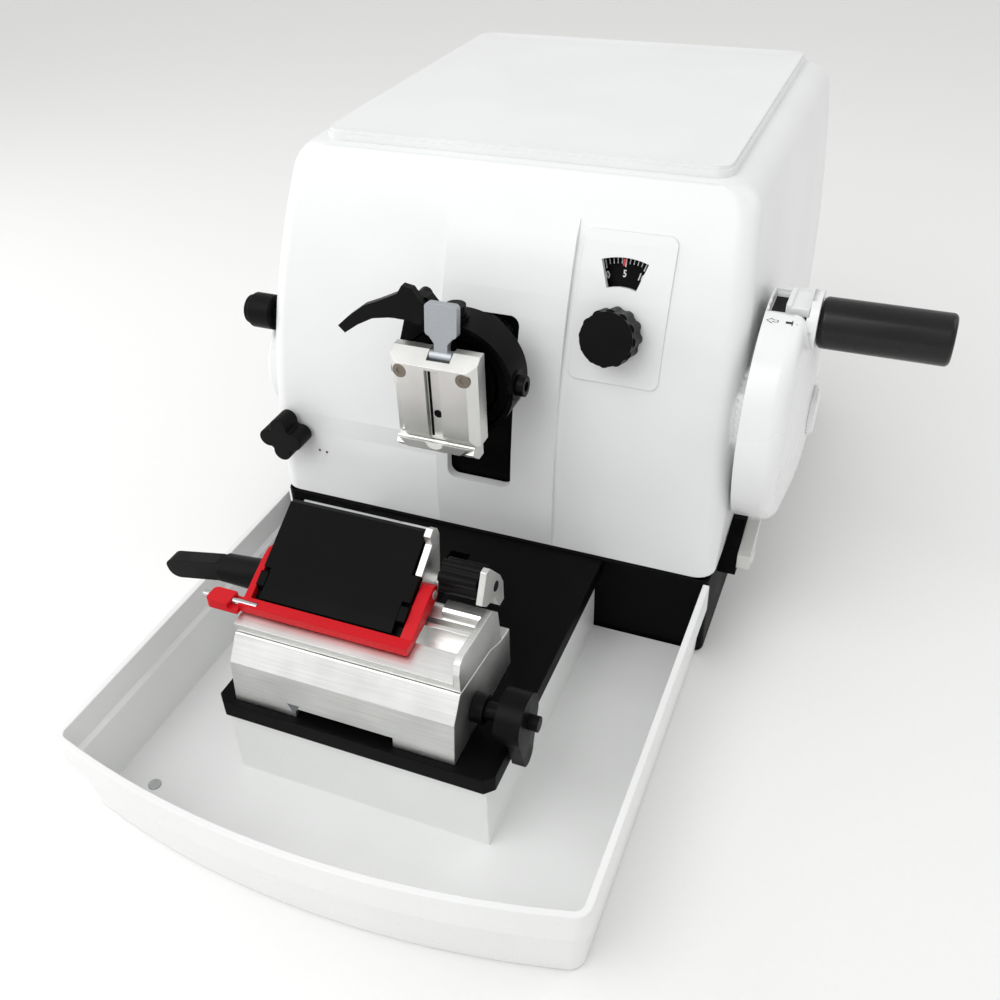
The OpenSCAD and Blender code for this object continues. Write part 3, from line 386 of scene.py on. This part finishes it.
def make_finishes(settings):
    """Fills FINISH with this machine's materials, by the name that the pieces ask for."""
    FINISH["shell"] = moulded_abs("Moulded white ABS shell", settings.shell)
    FINISH["tray"] = moulded_abs("Moulded white ABS tray", settings.tray, 0.3)
    FINISH["enamel"] = stove_enamel("White stove enamel", settings.wheel)
    FINISH["black"] = powder_coat("Black powder coat", settings.black)
    FINISH["plate"] = powder_coat("Matt black lacquered plate", "060606", 0.42, 0.6)
    FINISH["nylon"] = filled_nylon("Black glass-filled nylon", "070707")
    FINISH["phenolic"] = filled_nylon("Black phenolic grip", "070707", 0.26, 0.35)
    FINISH["guard"] = stove_enamel("Red stove enamel", settings.guard, 0.34, 0.15)
    FINISH["blasted"] = metal(
        "Bead-blasted clear anodised aluminium", "E6E6E3", 0.4, 0.5, (1, 1, 1), 0.01
    )
    FINISH["milled"] = metal(
        "Milled clear anodised aluminium", "F1F1EF", 0.36, 0.6, (60, 1, 1), 0.0015, 0.2
    )
    FINISH["anodised"] = powder_coat("Black anodised aluminium", "050505", 0.4, 0.4)
    FINISH["steel"] = metal("Turned bright steel", "C9CBCC", 0.22, 0.3, (1, 8, 8), 0.006)
    FINISH["edge"] = metal("Polished blade steel", "D8DADB", 0.12, 0.2, (30, 1, 1), 0.003)
    FINISH["satin"] = metal("Satin grey anodised lever", settings.lever, 0.46, 0.4, (1, 1, 6), 0.006)
    FINISH["old_steel"] = metal("Oiled screw steel", "8C857A", 0.38, 0.3, (1, 1, 1), 0.01)
    FINISH["bronze"] = metal("Turned bearing bronze", "B8863F", 0.3, 0.3, (1, 8, 8), 0.006)
    FINISH["iron"] = grey_iron("Ground grey iron", "6E7073")
    FINISH["rubber"] = soft_rubber("Black nitrile rubber", "101010")
    FINISH["white_ink"] = screen_ink("White screen ink", "F2F2EF")
    FINISH["black_ink"] = screen_ink("Black screen ink", "151516")
    FINISH["red_ink"] = screen_ink("Red screen ink", "C2202B")
    FINISH["grey_ink"] = screen_ink("Grey engraved fill", "6E7072")


NODE_FINISH = {
    "black": ("base_casting", "stage_plate", "brake_bracket"),
    "shell": ("housing", "dial_panel", "top_cover", "rear_cover", "lock_slider"),
    "tray": ("tray",),
    "enamel": ("handwheel", "hub_cap", "coarse_wheel"),
    "iron": ("main_frame", "bearing_block", "coarse_bearing"),
    "steel": (
        "guide_rails", "rear_screws", "main_shaft", "handle_spindle", "coarse_shaft", "yoke_plate",
        "feed_ram", "feed_screw", "holder_nut", "guard_rod", "tray_plug", "crank_disc",
    ),
    "bronze": ("shaft_bushes",),
    "nylon": (
        "thickness_knob", "trim_knob", "side_knob", "holder_lever", "blade_lever", "orient_lever",
        "shift_roller", "orient_screws",
    ),
    "phenolic": ("handle_grip",),
    "anodised": ("orient_cup", "tilt_ring", "tilt_core", "vertical_slide", "dust_shutter", "thickness_dial"),
    "blasted": ("clamp_body", "clamp_jaw", "end_brackets", "brake_lever"),
    "milled": ("holder_base", "clearance_segment", "blade_carriage"),
    "plate": ("pressure_plate",),
    "guard": ("guard",),
    "satin": ("clamp_lever",),
    "old_steel": ("clamp_screws",),
    "edge": ("blade",),
    "rubber": ("base_pads",),
}


# ---------------------------------------------------------------- surfaces


def new_piece(name, points, faces, finish, body, smooth=True):
    """A mesh piece from points in metres and quads or triangles, riding on a CAD body."""
    mesh = bpy.data.meshes.new(name)
    mesh.from_pydata(points.reshape(-1, 3).tolist(), [], faces)
    mesh.materials.append(FINISH[finish])
    mesh.polygons.foreach_set("use_smooth", [smooth] * len(mesh.polygons))
    mesh.update()
    piece = bpy.data.objects.new(name, mesh)
    bpy.context.scene.collection.objects.link(piece)
    if body:
        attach(piece, body)
    return piece


def faced_out(points, outward):
    """Face indices of one outline of (n, 3) points, run so that its normal agrees with outward."""
    after = np.roll(points, -1, axis=0)
    normal = np.cross(points, after).sum(axis=0)
    order = list(range(len(points)))
    return order if normal @ np.asarray(outward) > 0 else order[::-1]


def printed(name, outlines, place, outward, finish, node):
    """A printed or engraved mark: flat outlines of (n, 2) points in mm, laid on a surface by place,
    which takes them to (n, 3) points in mm a film's thickness above it. It rides with node."""
    points, faces = [], []
    for outline in outlines:
        laid = place(np.asarray(outline, float))
        start = sum(len(done) for done in points)
        faces.append([start + i for i in faced_out(laid, outward)])
        points.append(laid)
    new_piece(name, np.concatenate(points) * MM, faces, finish, BODY_OF[node], smooth=False)


def softened(node, finish, bevel_mm=0.0, smooth_deg=32):
    """Stands for a CAD node: its own mesh merged, with flat faces joined, its curves shaded smooth up
    to smooth_deg between faces, and its edges rounded by bevel_mm where that is given."""
    work = bmesh.new()
    work.from_mesh(frame["nodes"][node].data)
    bmesh.ops.remove_doubles(work, verts=work.verts, dist=0.004 * MM)
    bmesh.ops.dissolve_limit(work, angle_limit=math.radians(0.5), verts=work.verts, edges=work.edges)
    mesh = bpy.data.meshes.new(node + "_finished")
    work.to_mesh(mesh)
    work.free()
    mesh.materials.clear()
    mesh.materials.append(FINISH[finish])
    mesh.shade_smooth()
    mesh.set_sharp_from_angle(angle=math.radians(smooth_deg))
    piece = bpy.data.objects.new(node + "_finished", mesh)
    bpy.context.scene.collection.objects.link(piece)
    if bevel_mm:
        bevel = piece.modifiers.new("rounded edges", "BEVEL")
        bevel.width, bevel.segments = bevel_mm * MM, 2
        bevel.limit_method, bevel.angle_limit = "ANGLE", math.radians(40)
        bevel.harden_normals = True
    weighted = piece.modifiers.new("flat faces stay flat", "WEIGHTED_NORMAL")
    weighted.keep_sharp = True
    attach(piece, BODY_OF[node])
    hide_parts(node)
    return piece


def grid_faces(rows, cols):
    """Quads over a grid of rows by cols points."""
    index = np.arange(rows * cols).reshape(rows, cols)
    corners = (index[:-1, :-1], index[:-1, 1:], index[1:, 1:], index[1:, :-1])
    return np.stack(corners, axis=-1).reshape(-1, 4).tolist()


# ---------------------------------------------------------------- pieces


class MICROTOME_OT_finishes(bpy.types.Operator):
    """Gives every CAD node its real material."""

    bl_idname = "microtome.finishes"
    bl_label = "Finish the CAD parts"

    def execute(self, context):
        make_finishes(context.scene.microtome_finish)
        for finish, names in NODE_FINISH.items():
            for name in names:
                mesh = frame["nodes"][name].data
                mesh.materials.clear()
                mesh.materials.append(FINISH[finish])
        return {"FINISHED"}


# Nodes whose curves are shaded smooth, with the width in mm of their rounded edges
SOFT_EDGES = {
    "housing": 0.0, "dial_panel": 0.0, "top_cover": 0.0, "tray": 0.8, "handwheel": 0.0, "hub_cap": 0.4,
    "coarse_wheel": 0.0, "base_casting": 1.0, "stage_plate": 0.6, "handle_grip": 0.0,
    "orient_cup": 0.6, "orient_screws": 0.3, "orient_lever": 0.8, "holder_lever": 0.9,
    "blade_lever": 0.9, "trim_knob": 0.8, "thickness_knob": 0.8, "side_knob": 0.6,
    "shift_roller": 0.5, "blade_carriage": 0.0, "guard": 0.5, "pressure_plate": 0.4, "clamp_lever": 0.5,
    "clamp_body": 0.5, "clamp_jaw": 0.5, "holder_base": 0.4, "clearance_segment": 0.3,
    "end_brackets": 0.3, "feed_ram": 0.0, "brake_lever": 0.4, "lock_slider": 0.4,
}


class MICROTOME_OT_edges(bpy.types.Operator):
    """Rounds the edges that a hand meets and shades the curves of the castings and mouldings smooth."""

    bl_idname = "microtome.edges"
    bl_label = "Round the edges"

    def execute(self, context):
        finish_of = {name: finish for finish, names in NODE_FINISH.items() for name in names}
        made = {}
        for node, bevel_mm in SOFT_EDGES.items():
            made[node] = softened(node, finish_of[node], bevel_mm)
        blacken_top(made["blade_carriage"])
        thin_ear(made["orient_cup"])
        trim_hub(made["orient_lever"])
        slim_bar(made["blade_lever"])
        return {"FINISHED"}


def moved(piece, shift):
    """Moves a copy's points, in mm: each point p goes to shift(p)."""
    points = np.empty(len(piece.data.vertices) * 3)
    piece.data.vertices.foreach_get("co", points)
    points = shift(points.reshape(-1, 3) / MM) * MM
    piece.data.vertices.foreach_set("co", points.ravel())
    piece.data.update()


def thin_ear(piece):
    """Thins the cup's clamping ear, and the rim on its side, to a plate: left of x = -12 mm and more
    than 37 mm from the middle (-1.5, 195) in x and z, the back beyond y = -20 mm comes forward to
    y = -19 mm and nothing stands further left than x = -25.5 mm."""
    middle_x, middle_z, reach = -1.5, 195, 37
    side_x, back_y, plate_y, left_x = -12, -20, -19.0, -25.5

    def shift(p):
        outside = (np.hypot(p[:, 0] - middle_x, p[:, 2] - middle_z) > reach) & (p[:, 0] < side_x)
        y = np.where(outside & (p[:, 1] > back_y), plate_y, p[:, 1])
        x = np.where(outside, np.maximum(p[:, 0], left_x), p[:, 0])
        return np.column_stack([x, y, p[:, 2]])

    moved(piece, shift)


def trim_hub(piece):
    """Flattens the orientation lever's hub below: right of x = -36 mm no point lies lower than
    z = 225.2 - 0.27 max(0, x + 24)."""
    hub_left, hub_middle, lowest, fall = -36, -24, 225.2, 0.27

    def shift(p):
        floor = lowest - fall * np.maximum(0, p[:, 0] - hub_middle)
        z = np.where(p[:, 0] > hub_left, np.maximum(p[:, 2], floor), p[:, 2])
        return np.column_stack([p[:, :2], z])

    moved(piece, shift)


def slim_bar(piece):
    """Slims the lever's bar: left of x = -79.5 mm each point comes a quarter nearer, in z, to the
    bar's middle line z = 100.5 + 0.13 (x + 105)."""
    bar_end, slimmer = -79.5, 0.75

    def shift(p):
        middle = 100.5 + 0.13 * (p[:, 0] + 105)
        z = np.where(p[:, 0] < bar_end, middle + slimmer * (p[:, 2] - middle), p[:, 2])
        return np.column_stack([p[:, :2], z])

    moved(piece, shift)


def blacken_top(piece):
    """Blackens the carriage's upper side and ears, as the pressure plate's bed is: faces whose middle
    lies less than 0.5 mm under the blade's plane, which falls 32 degrees forwards from the edge."""
    cutting_edge, slope, skin = [0, -102, 143], math.radians(32), 0.5
    mesh = piece.data
    mesh.materials.append(FINISH["plate"])
    middle = np.empty(len(mesh.polygons) * 3)
    mesh.polygons.foreach_get("center", middle)
    away = middle.reshape(-1, 3) / MM - cutting_edge
    deep = away[:, 1] * math.sin(slope) - away[:, 2] * math.cos(slope)
    mesh.polygons.foreach_set("material_index", (deep < skin).astype(np.int32))


# The dial's middle in mm, its upward and outward directions, and the control points of the front
DIAL_CENTRE = np.array([77.5, 25.854, 205.0])
DIAL_UP = np.array([0.0, 0.331458, 0.94347])
DIAL_OUT = np.array([0.0, -0.94347, 0.331458])
FRONT_Z = np.array([62, 125, 198, 284.0])
FRONT_Y = np.array([0, 4, 12, 63.0])
# The dial's divisions: how many, every which one is long, where the fifth stands at rest in degrees,
# and the radii in mm from which a long and a short line run to their common end
DIVISIONS, LONG_EVERY, REST_TURN = 61, 5, -2.2
LONG_FROM, SHORT_FROM, LINE_END, LINE_RADIUS, LONG_WIDTH = 37.6, 39.4, 42.6, 40, 0.75
NUMERAL_STRETCH = 0.82
FLOOR_ROWS = 24
# The handwheel's radius, the round of its outer edge and its axle, in mm
RIM_R, RIM_ROUND, ROUND_FROM_X = 69.0, 9, 172.3
AXLE_Y, AXLE_Z = 61.5, 156.4


def on_dial(polar):
    """Dial cone: radius r and angle t, clockwise from up, go to centre + r sin t X + r cos t up + h out,
    where the height h = -5 - 0.1266 (r - 3) follows the cone, plus a film of 0.07 mm."""
    r, t = polar[:, 0], np.radians(polar[:, 1])
    h = -5.0 - 0.1266 * (r - 3.0) + 0.07
    spread_out = np.outer(r * np.sin(t), [1, 0, 0]) + np.outer(r * np.cos(t), DIAL_UP)
    return DIAL_CENTRE + spread_out + np.outer(h, DIAL_OUT)


def front_depth(z):
    """How far back the housing's front stands at height z: the cubic Bezier curve through its four
    control points, read off by linear interpolation over 16 equal steps of its parameter."""
    t = np.linspace(0, 1, 17)
    weights = np.stack([(1 - t) ** 3, 3 * (1 - t) ** 2 * t, 3 * (1 - t) * t**2, t**3])
    return np.interp(z, FRONT_Z @ weights, FRONT_Y @ weights)


def on_front(flat, film=0.1):
    """Housing front: (x, z) goes to (x, front_depth(z) - film, z)."""
    return np.stack([flat[:, 0], front_depth(flat[:, 1]) - film, flat[:, 1]], axis=1)


def on_rim(flat):
    """Handwheel rim: x and the arc length s round it go to a circle of radius R(x) about the main
    shaft, where R is 69 mm and falls off on the 9 mm round of the outer edge."""
    x, s = flat[:, 0], flat[:, 1]
    fall = np.sqrt(np.maximum(RIM_ROUND**2 - (x - ROUND_FROM_X) ** 2, 0))
    radius = np.where(x < ROUND_FROM_X, RIM_R, RIM_R - RIM_ROUND + fall) + 0.08
    turn = s / RIM_R
    return np.stack([x, AXLE_Y + radius * np.sin(turn), AXLE_Z + radius * np.cos(turn)], axis=1)


def upright(y):
    """Places a mark on the plane at that y: (x, z) goes to (x, y, z)."""
    return lambda flat: np.stack([flat[:, 0], np.full(len(flat), y), flat[:, 1]], axis=1)


def arrow(tail, neck, tip, at, half_shaft):
    """Outline of an arrow along x, from tail over the neck to the tip, about the line s = at."""
    half_head = 2.0
    return [
        (tail, at - half_shaft), (neck, at - half_shaft), (neck, at - half_head), (tip, at),
        (neck, at + half_head), (neck, at + half_shaft), (tail, at + half_shaft),
    ]


def disc(x, z, d, n=20):
    """A circle of n points about (x, z)."""
    t = np.linspace(0, 2 * math.pi, n, endpoint=False)
    return np.stack([x + d / 2 * np.cos(t), z + d / 2 * np.sin(t)], axis=1)


def numeral_mesh(text, height):
    """Flat triangles of a printed number, centred, as points in mm and face indices."""
    curve = bpy.data.curves.new("numeral", "FONT")
    curve.body, curve.align_x, curve.size, curve.resolution_u = text, "CENTER", height / 0.7, 4
    curve.offset = 0.03 * height
    letter = bpy.data.objects.new("numeral", curve)
    bpy.context.scene.collection.objects.link(letter)
    bpy.context.view_layer.update()
    mesh = bpy.data.meshes.new_from_object(letter.evaluated_get(bpy.context.evaluated_depsgraph_get()))
    points = np.empty(len(mesh.vertices) * 3)
    mesh.vertices.foreach_get("co", points)
    faces = [list(face.vertices) for face in mesh.polygons]
    bpy.data.objects.remove(letter)
    bpy.data.curves.remove(curve)
    bpy.data.meshes.remove(mesh)
    return points.reshape(-1, 3)[:, :2], faces


class MICROTOME_OT_dial(bpy.types.Operator):
    """Prints the section thickness dial: a division per micrometre, a number every fifth, and the red
    index over the sight window."""

    bl_idname = "microtome.dial"
    bl_label = "Print the dial"

    def execute(self, context):
        settings = context.scene.microtome_dial
        step = math.degrees(settings.step_angle)
        start = REST_TURN - LONG_EVERY * step
        marks = []
        for i in range(DIVISIONS):
            turn = start + i * step
            inner, width = (SHORT_FROM, settings.line_width / MM) if i % LONG_EVERY else (LONG_FROM, LONG_WIDTH)
            left, right = (turn + side * math.degrees(width / 2 / LINE_RADIUS) for side in (-1, 1))
            marks.append([(inner, left), (LINE_END, left), (LINE_END, right), (inner, right)])
        printed("dial_divisions", marks, on_dial, DIAL_OUT, "white_ink", "thickness_dial")
        radius, height = settings.numeral_radius / MM, settings.numeral_height / MM
        points, faces, total = [], [], 0
        for i in range(0, DIVISIONS, LONG_EVERY):
            flat, letter = numeral_mesh(str(i), height)
            aside = np.degrees(NUMERAL_STRETCH * flat[:, 0] / radius)
            polar = np.stack([radius - height / 2 + flat[:, 1], start + i * step + aside], axis=1)
            points.append(on_dial(polar))
            faces += [[total + v for v in face] for face in letter]
            total += len(flat)
        new_piece(
            "dial_numbers",
            np.concatenate(points) * MM,
            faces,
            "white_ink",
            BODY_OF["thickness_dial"],
            smooth=False,
        )
        axis_x, top, low = DIAL_CENTRE[0] - 0.3, 244.8, 241.4
        pointer = [(axis_x - 0.9, top), (axis_x + 0.9, top), (axis_x + 0.7, low), (axis_x - 0.7, low)]
        printed("dial_index", [pointer], lambda flat: on_front(flat, 1.3), DIAL_OUT, "red_ink", "dial_panel")
        return {"FINISHED"}


class MICROTOME_OT_marks(bpy.types.Operator):
    """Prints the lock arrows on the wheel and the dots of the trim knob, lays a black sheet on the lock
    pocket's floor, lays a black sheet as painted shade over the clamp's slot and hole, adds the jaw's nose and
    engraves the holder's index."""

    bl_idname = "microtome.marks"
    bl_label = "Print the marks"

    def execute(self, context):
        at = -RIM_R * math.atan2(23.0, 65.0)
        rim_out, front_out = (0, -0.3, 1), (0, -1, 0)
        solid = arrow(169.4, 172.6, 175.8, at, 0.8)
        printed("unlock_arrow", [solid], on_rim, rim_out, "black_ink", "handwheel")
        hollow = outline_strips(arrow(165.4, 162.0, 158.7, at, 0.9), 0.48)
        printed("lock_arrow", hollow, on_rim, rim_out, "black_ink", "handwheel")
        # A black sheet laid on the floor of the lock pocket in the wheel's rim.
        left, right, near, far, floor_z = 158.9, 180.1, 46.3, 72.7, 220.05
        pocket = [(left, near), (right, near), (right, far), (left, far)]
        printed(
            "lock_pocket_floor",
            [pocket],
            lambda flat: np.column_stack([flat, np.full(len(flat), floor_z)]),
            (0, 0, 1),
            "nylon",
            "handwheel",
        )
        dots = [disc(-119.2, 97.2, 1.8), disc(-113.8, 96.7, 1.8)]
        printed("trimming_dots", dots, on_front, front_out, "black_ink", "housing")
        # Painted shade: a black sheet on the clamp body's face over its slot and hole, standing in for the
        # shade inside them.
        slot = [[(-7.6, 163), (-6.0, 163), (-6.0, 206.5), (-7.6, 206.5)], disc(-2.9, 178, 5.0)]
        printed("clamp_slot_painted_shade", slot, upright(-46.07), front_out, "nylon", "clamp_body")
        jaw_nose()
        engraved = [[(-38.0, 68.6), (-30.4, 68.6), (-34.2, 62.4)]]
        printed("holder_index", engraved, on_holder_front, front_out, "grey_ink", "holder_base")
        return {"FINISHED"}


def jaw_nose():
    """The jaw's faceted nose: a front trapezium at y = -51.0 skinned back to a wider one at y = -48.4, so that
    both ends fall away as facets, and a half-round thumb land in the middle, laid flat in white ink as a
    painted highlight."""
    front = np.array([(-26.8, 161.0), (16.6, 161.0), (11.0, 155.8), (-21.5, 155.8)])
    back = np.array([(-29.3, 160.4), (19.3, 160.4), (15.5, 155.2), (-25.5, 155.2)])
    points = np.concatenate([upright(-51.0)(front), upright(-48.4)(back)])
    ends = [(3, 2, 1, 0), (4, 5, 6, 7)]
    sides = [(i, (i + 1) % 4, 4 + (i + 1) % 4, 4 + i) for i in range(4)]
    body, slot = BODY_OF["clamp_jaw"], SLOT_OF["clamp_jaw"]
    new_piece("jaw_nose", points * MM, ends + sides, "blasted", body, smooth=False)
    # Painted highlight: the thumb land is a flat white half disc on the jaw's front, lighter than the blasted
    # aluminium round it.
    turn = np.radians(np.linspace(180, 360, 19))
    land = np.column_stack([-4.5 + 5.2 * np.cos(turn), 160.9 + 4.0 * np.sin(turn)])
    printed("jaw_thumb_land_highlight", [land], upright(-51.1), (0, -1, 0), "white_ink", "clamp_jaw")


def outline_strips(outline, width):
    """The border of a flat outline as quads: each edge from its corners to the same corners moved
    towards the middle point by width."""
    outer = np.asarray(outline, float)
    middle = outer.mean(axis=0)
    inward = middle - outer
    inner = outer + inward / np.linalg.norm(inward, axis=1, keepdims=True) * width
    return [
        [outer[i], outer[(i + 1) % len(outer)], inner[(i + 1) % len(outer)], inner[i]]
        for i in range(len(outer))
    ]


def on_holder_front(flat):
    """Front of the blade holder's foot: (x, z) goes to y = -183 + 2.5 (z - 60.1) / 26.9 less a film."""
    foot_y, foot_z, film = -183, 60.1, 0.06
    y = foot_y + 2.5 * (flat[:, 1] - foot_z) / 26.9 - film
    return np.stack([flat[:, 0], y, flat[:, 1]], axis=1)


class MICROTOME_OT_stage(bpy.types.Operator):
    """Lays the pale floor and sets the soft lights and the camera."""

    bl_idname = "microtome.stage"
    bl_label = "Stage"

    def execute(self, context):
        settings = context.scene.microtome_stage
        FINISH["floor"] = pale_floor("Pale painted floor", settings.floor_colour)
        floor = new_piece("studio_floor", floor_sweep(), grid_faces(FLOOR_ROWS, 2), "floor", None)
        world = bpy.data.worlds.new("Even studio sky")
        world.use_nodes = True
        sky = world.node_tree.nodes["Background"]
        sky.inputs["Color"].default_value = (1.0, 1.0, 1.0, 1.0)
        sky.inputs["Strength"].default_value = settings.sky_strength
        context.scene.world = world
        soft_light("key", (-0.45, -0.95, 1.35), 1.1, settings.key_power)
        soft_light("fill", (-1.2, -0.2, 0.6), 0.9, settings.fill_power)
        soft_light("rim", (0.9, 0.5, 1.2), 0.8, settings.fill_power * 0.5)
        context.scene.view_settings.view_transform = "Standard"
        context.scene.camera = studio_camera(settings.focal_length)
        return {"FINISHED"}


def floor_sweep():
    """Floor and backdrop in one: a flat run, a quarter circle and a rise, carried straight along X."""
    s = np.linspace(0, 1, FLOOR_ROWS)
    reach, behind, rise, bend, half_width = 4.0, 2.6, 3.0, 1.2, 5.0
    turn = np.clip((s - 0.3) / 0.4, 0, 1) * math.pi / 2
    y = np.where(s < 0.3, -reach + (reach + behind) * s / 0.3, behind + bend * np.sin(turn))
    z = np.where(s < 0.7, bend * (1 - np.cos(turn)), bend + rise * (s - 0.7) / 0.3)
    rows = np.stack([np.zeros_like(y), y, z], axis=-1)[:, None, :].repeat(2, axis=1)
    rows[:, 0, 0], rows[:, 1, 0] = -half_width, half_width
    return rows


def soft_light(name, place, size, power):
    """A square area light at place that looks at the machine's middle."""
    data = bpy.data.lights.new(name, "AREA")
    data.energy, data.size = power, size
    light = bpy.data.objects.new(name, data)
    light.location = place
    light.rotation_euler = (Vector((0, 0, 0.15)) - Vector(place)).to_track_quat("-Z", "Y").to_euler()
    bpy.context.scene.collection.objects.link(light)


def studio_camera(focal_length):
    """The camera above the operator's right shoulder, 36 mm sensor, level within a few degrees."""
    right = Vector((0.92747685, 0.37257642, -0.03120108))
    down = Vector((0.19849439, -0.56140275, -0.80338467))
    ahead = Vector((-0.31683856, 0.73892744, -0.59464238))
    data = bpy.data.cameras.new("studio")
    data.lens, data.sensor_width, data.clip_end = focal_length, 36.0, 50.0
    camera = bpy.data.objects.new("studio", data)
    turn = Matrix((right, -down, -ahead)).transposed()
    camera.matrix_world = Matrix.Translation((0.22444, -0.49329, 0.48664)) @ turn.to_4x4()
    bpy.context.scene.collection.objects.link(camera)
    return camera


class MICROTOME_PT_looks(bpy.types.Panel):
    """Lists the machine's operators and settings."""

    bl_idname = "MICROTOME_PT_looks"
    bl_label = "Microtome looks"
    bl_space_type = "VIEW_3D"
    bl_region_type = "UI"
    bl_category = "Microtome"

    def draw(self, context):
        for step in STEPS:
            self.layout.operator(step.bl_idname)
        for group in ("microtome_stage", "microtome_finish", "microtome_dial"):
            settings = getattr(context.scene, group)
            for name in settings.bl_rna.properties.keys():
                if name not in ("rna_type", "name"):
                    self.layout.prop(settings, name)


STEPS = (
    MICROTOME_OT_finishes,
    MICROTOME_OT_edges,
    MICROTOME_OT_dial,
    MICROTOME_OT_marks,
    MICROTOME_OT_stage,
)
GROUPS = {
    "microtome_stage": StageSettings,
    "microtome_finish": FinishSettings,
    "microtome_dial": DialSettings,
}


def register():
    """Registers the settings, the operators and the panel."""
    for name, group in GROUPS.items():
        bpy.utils.register_class(group)
        setattr(bpy.types.Scene, name, bpy.props.PointerProperty(type=group))
    for step in (*STEPS, MICROTOME_PT_looks):
        bpy.utils.register_class(step)


def unregister():
    """Takes back what register did."""
    for step in (MICROTOME_PT_looks, *reversed(STEPS)):
        bpy.utils.unregister_class(step)
    for name, group in GROUPS.items():
        delattr(bpy.types.Scene, name)
        bpy.utils.unregister_class(group)


def main():
    """Runs every operator in order."""
    register()
    for step in STEPS:
        group, _, name = step.bl_idname.partition(".")
        getattr(getattr(bpy.ops, group), name)()


if __name__ == "__main__":
    main()
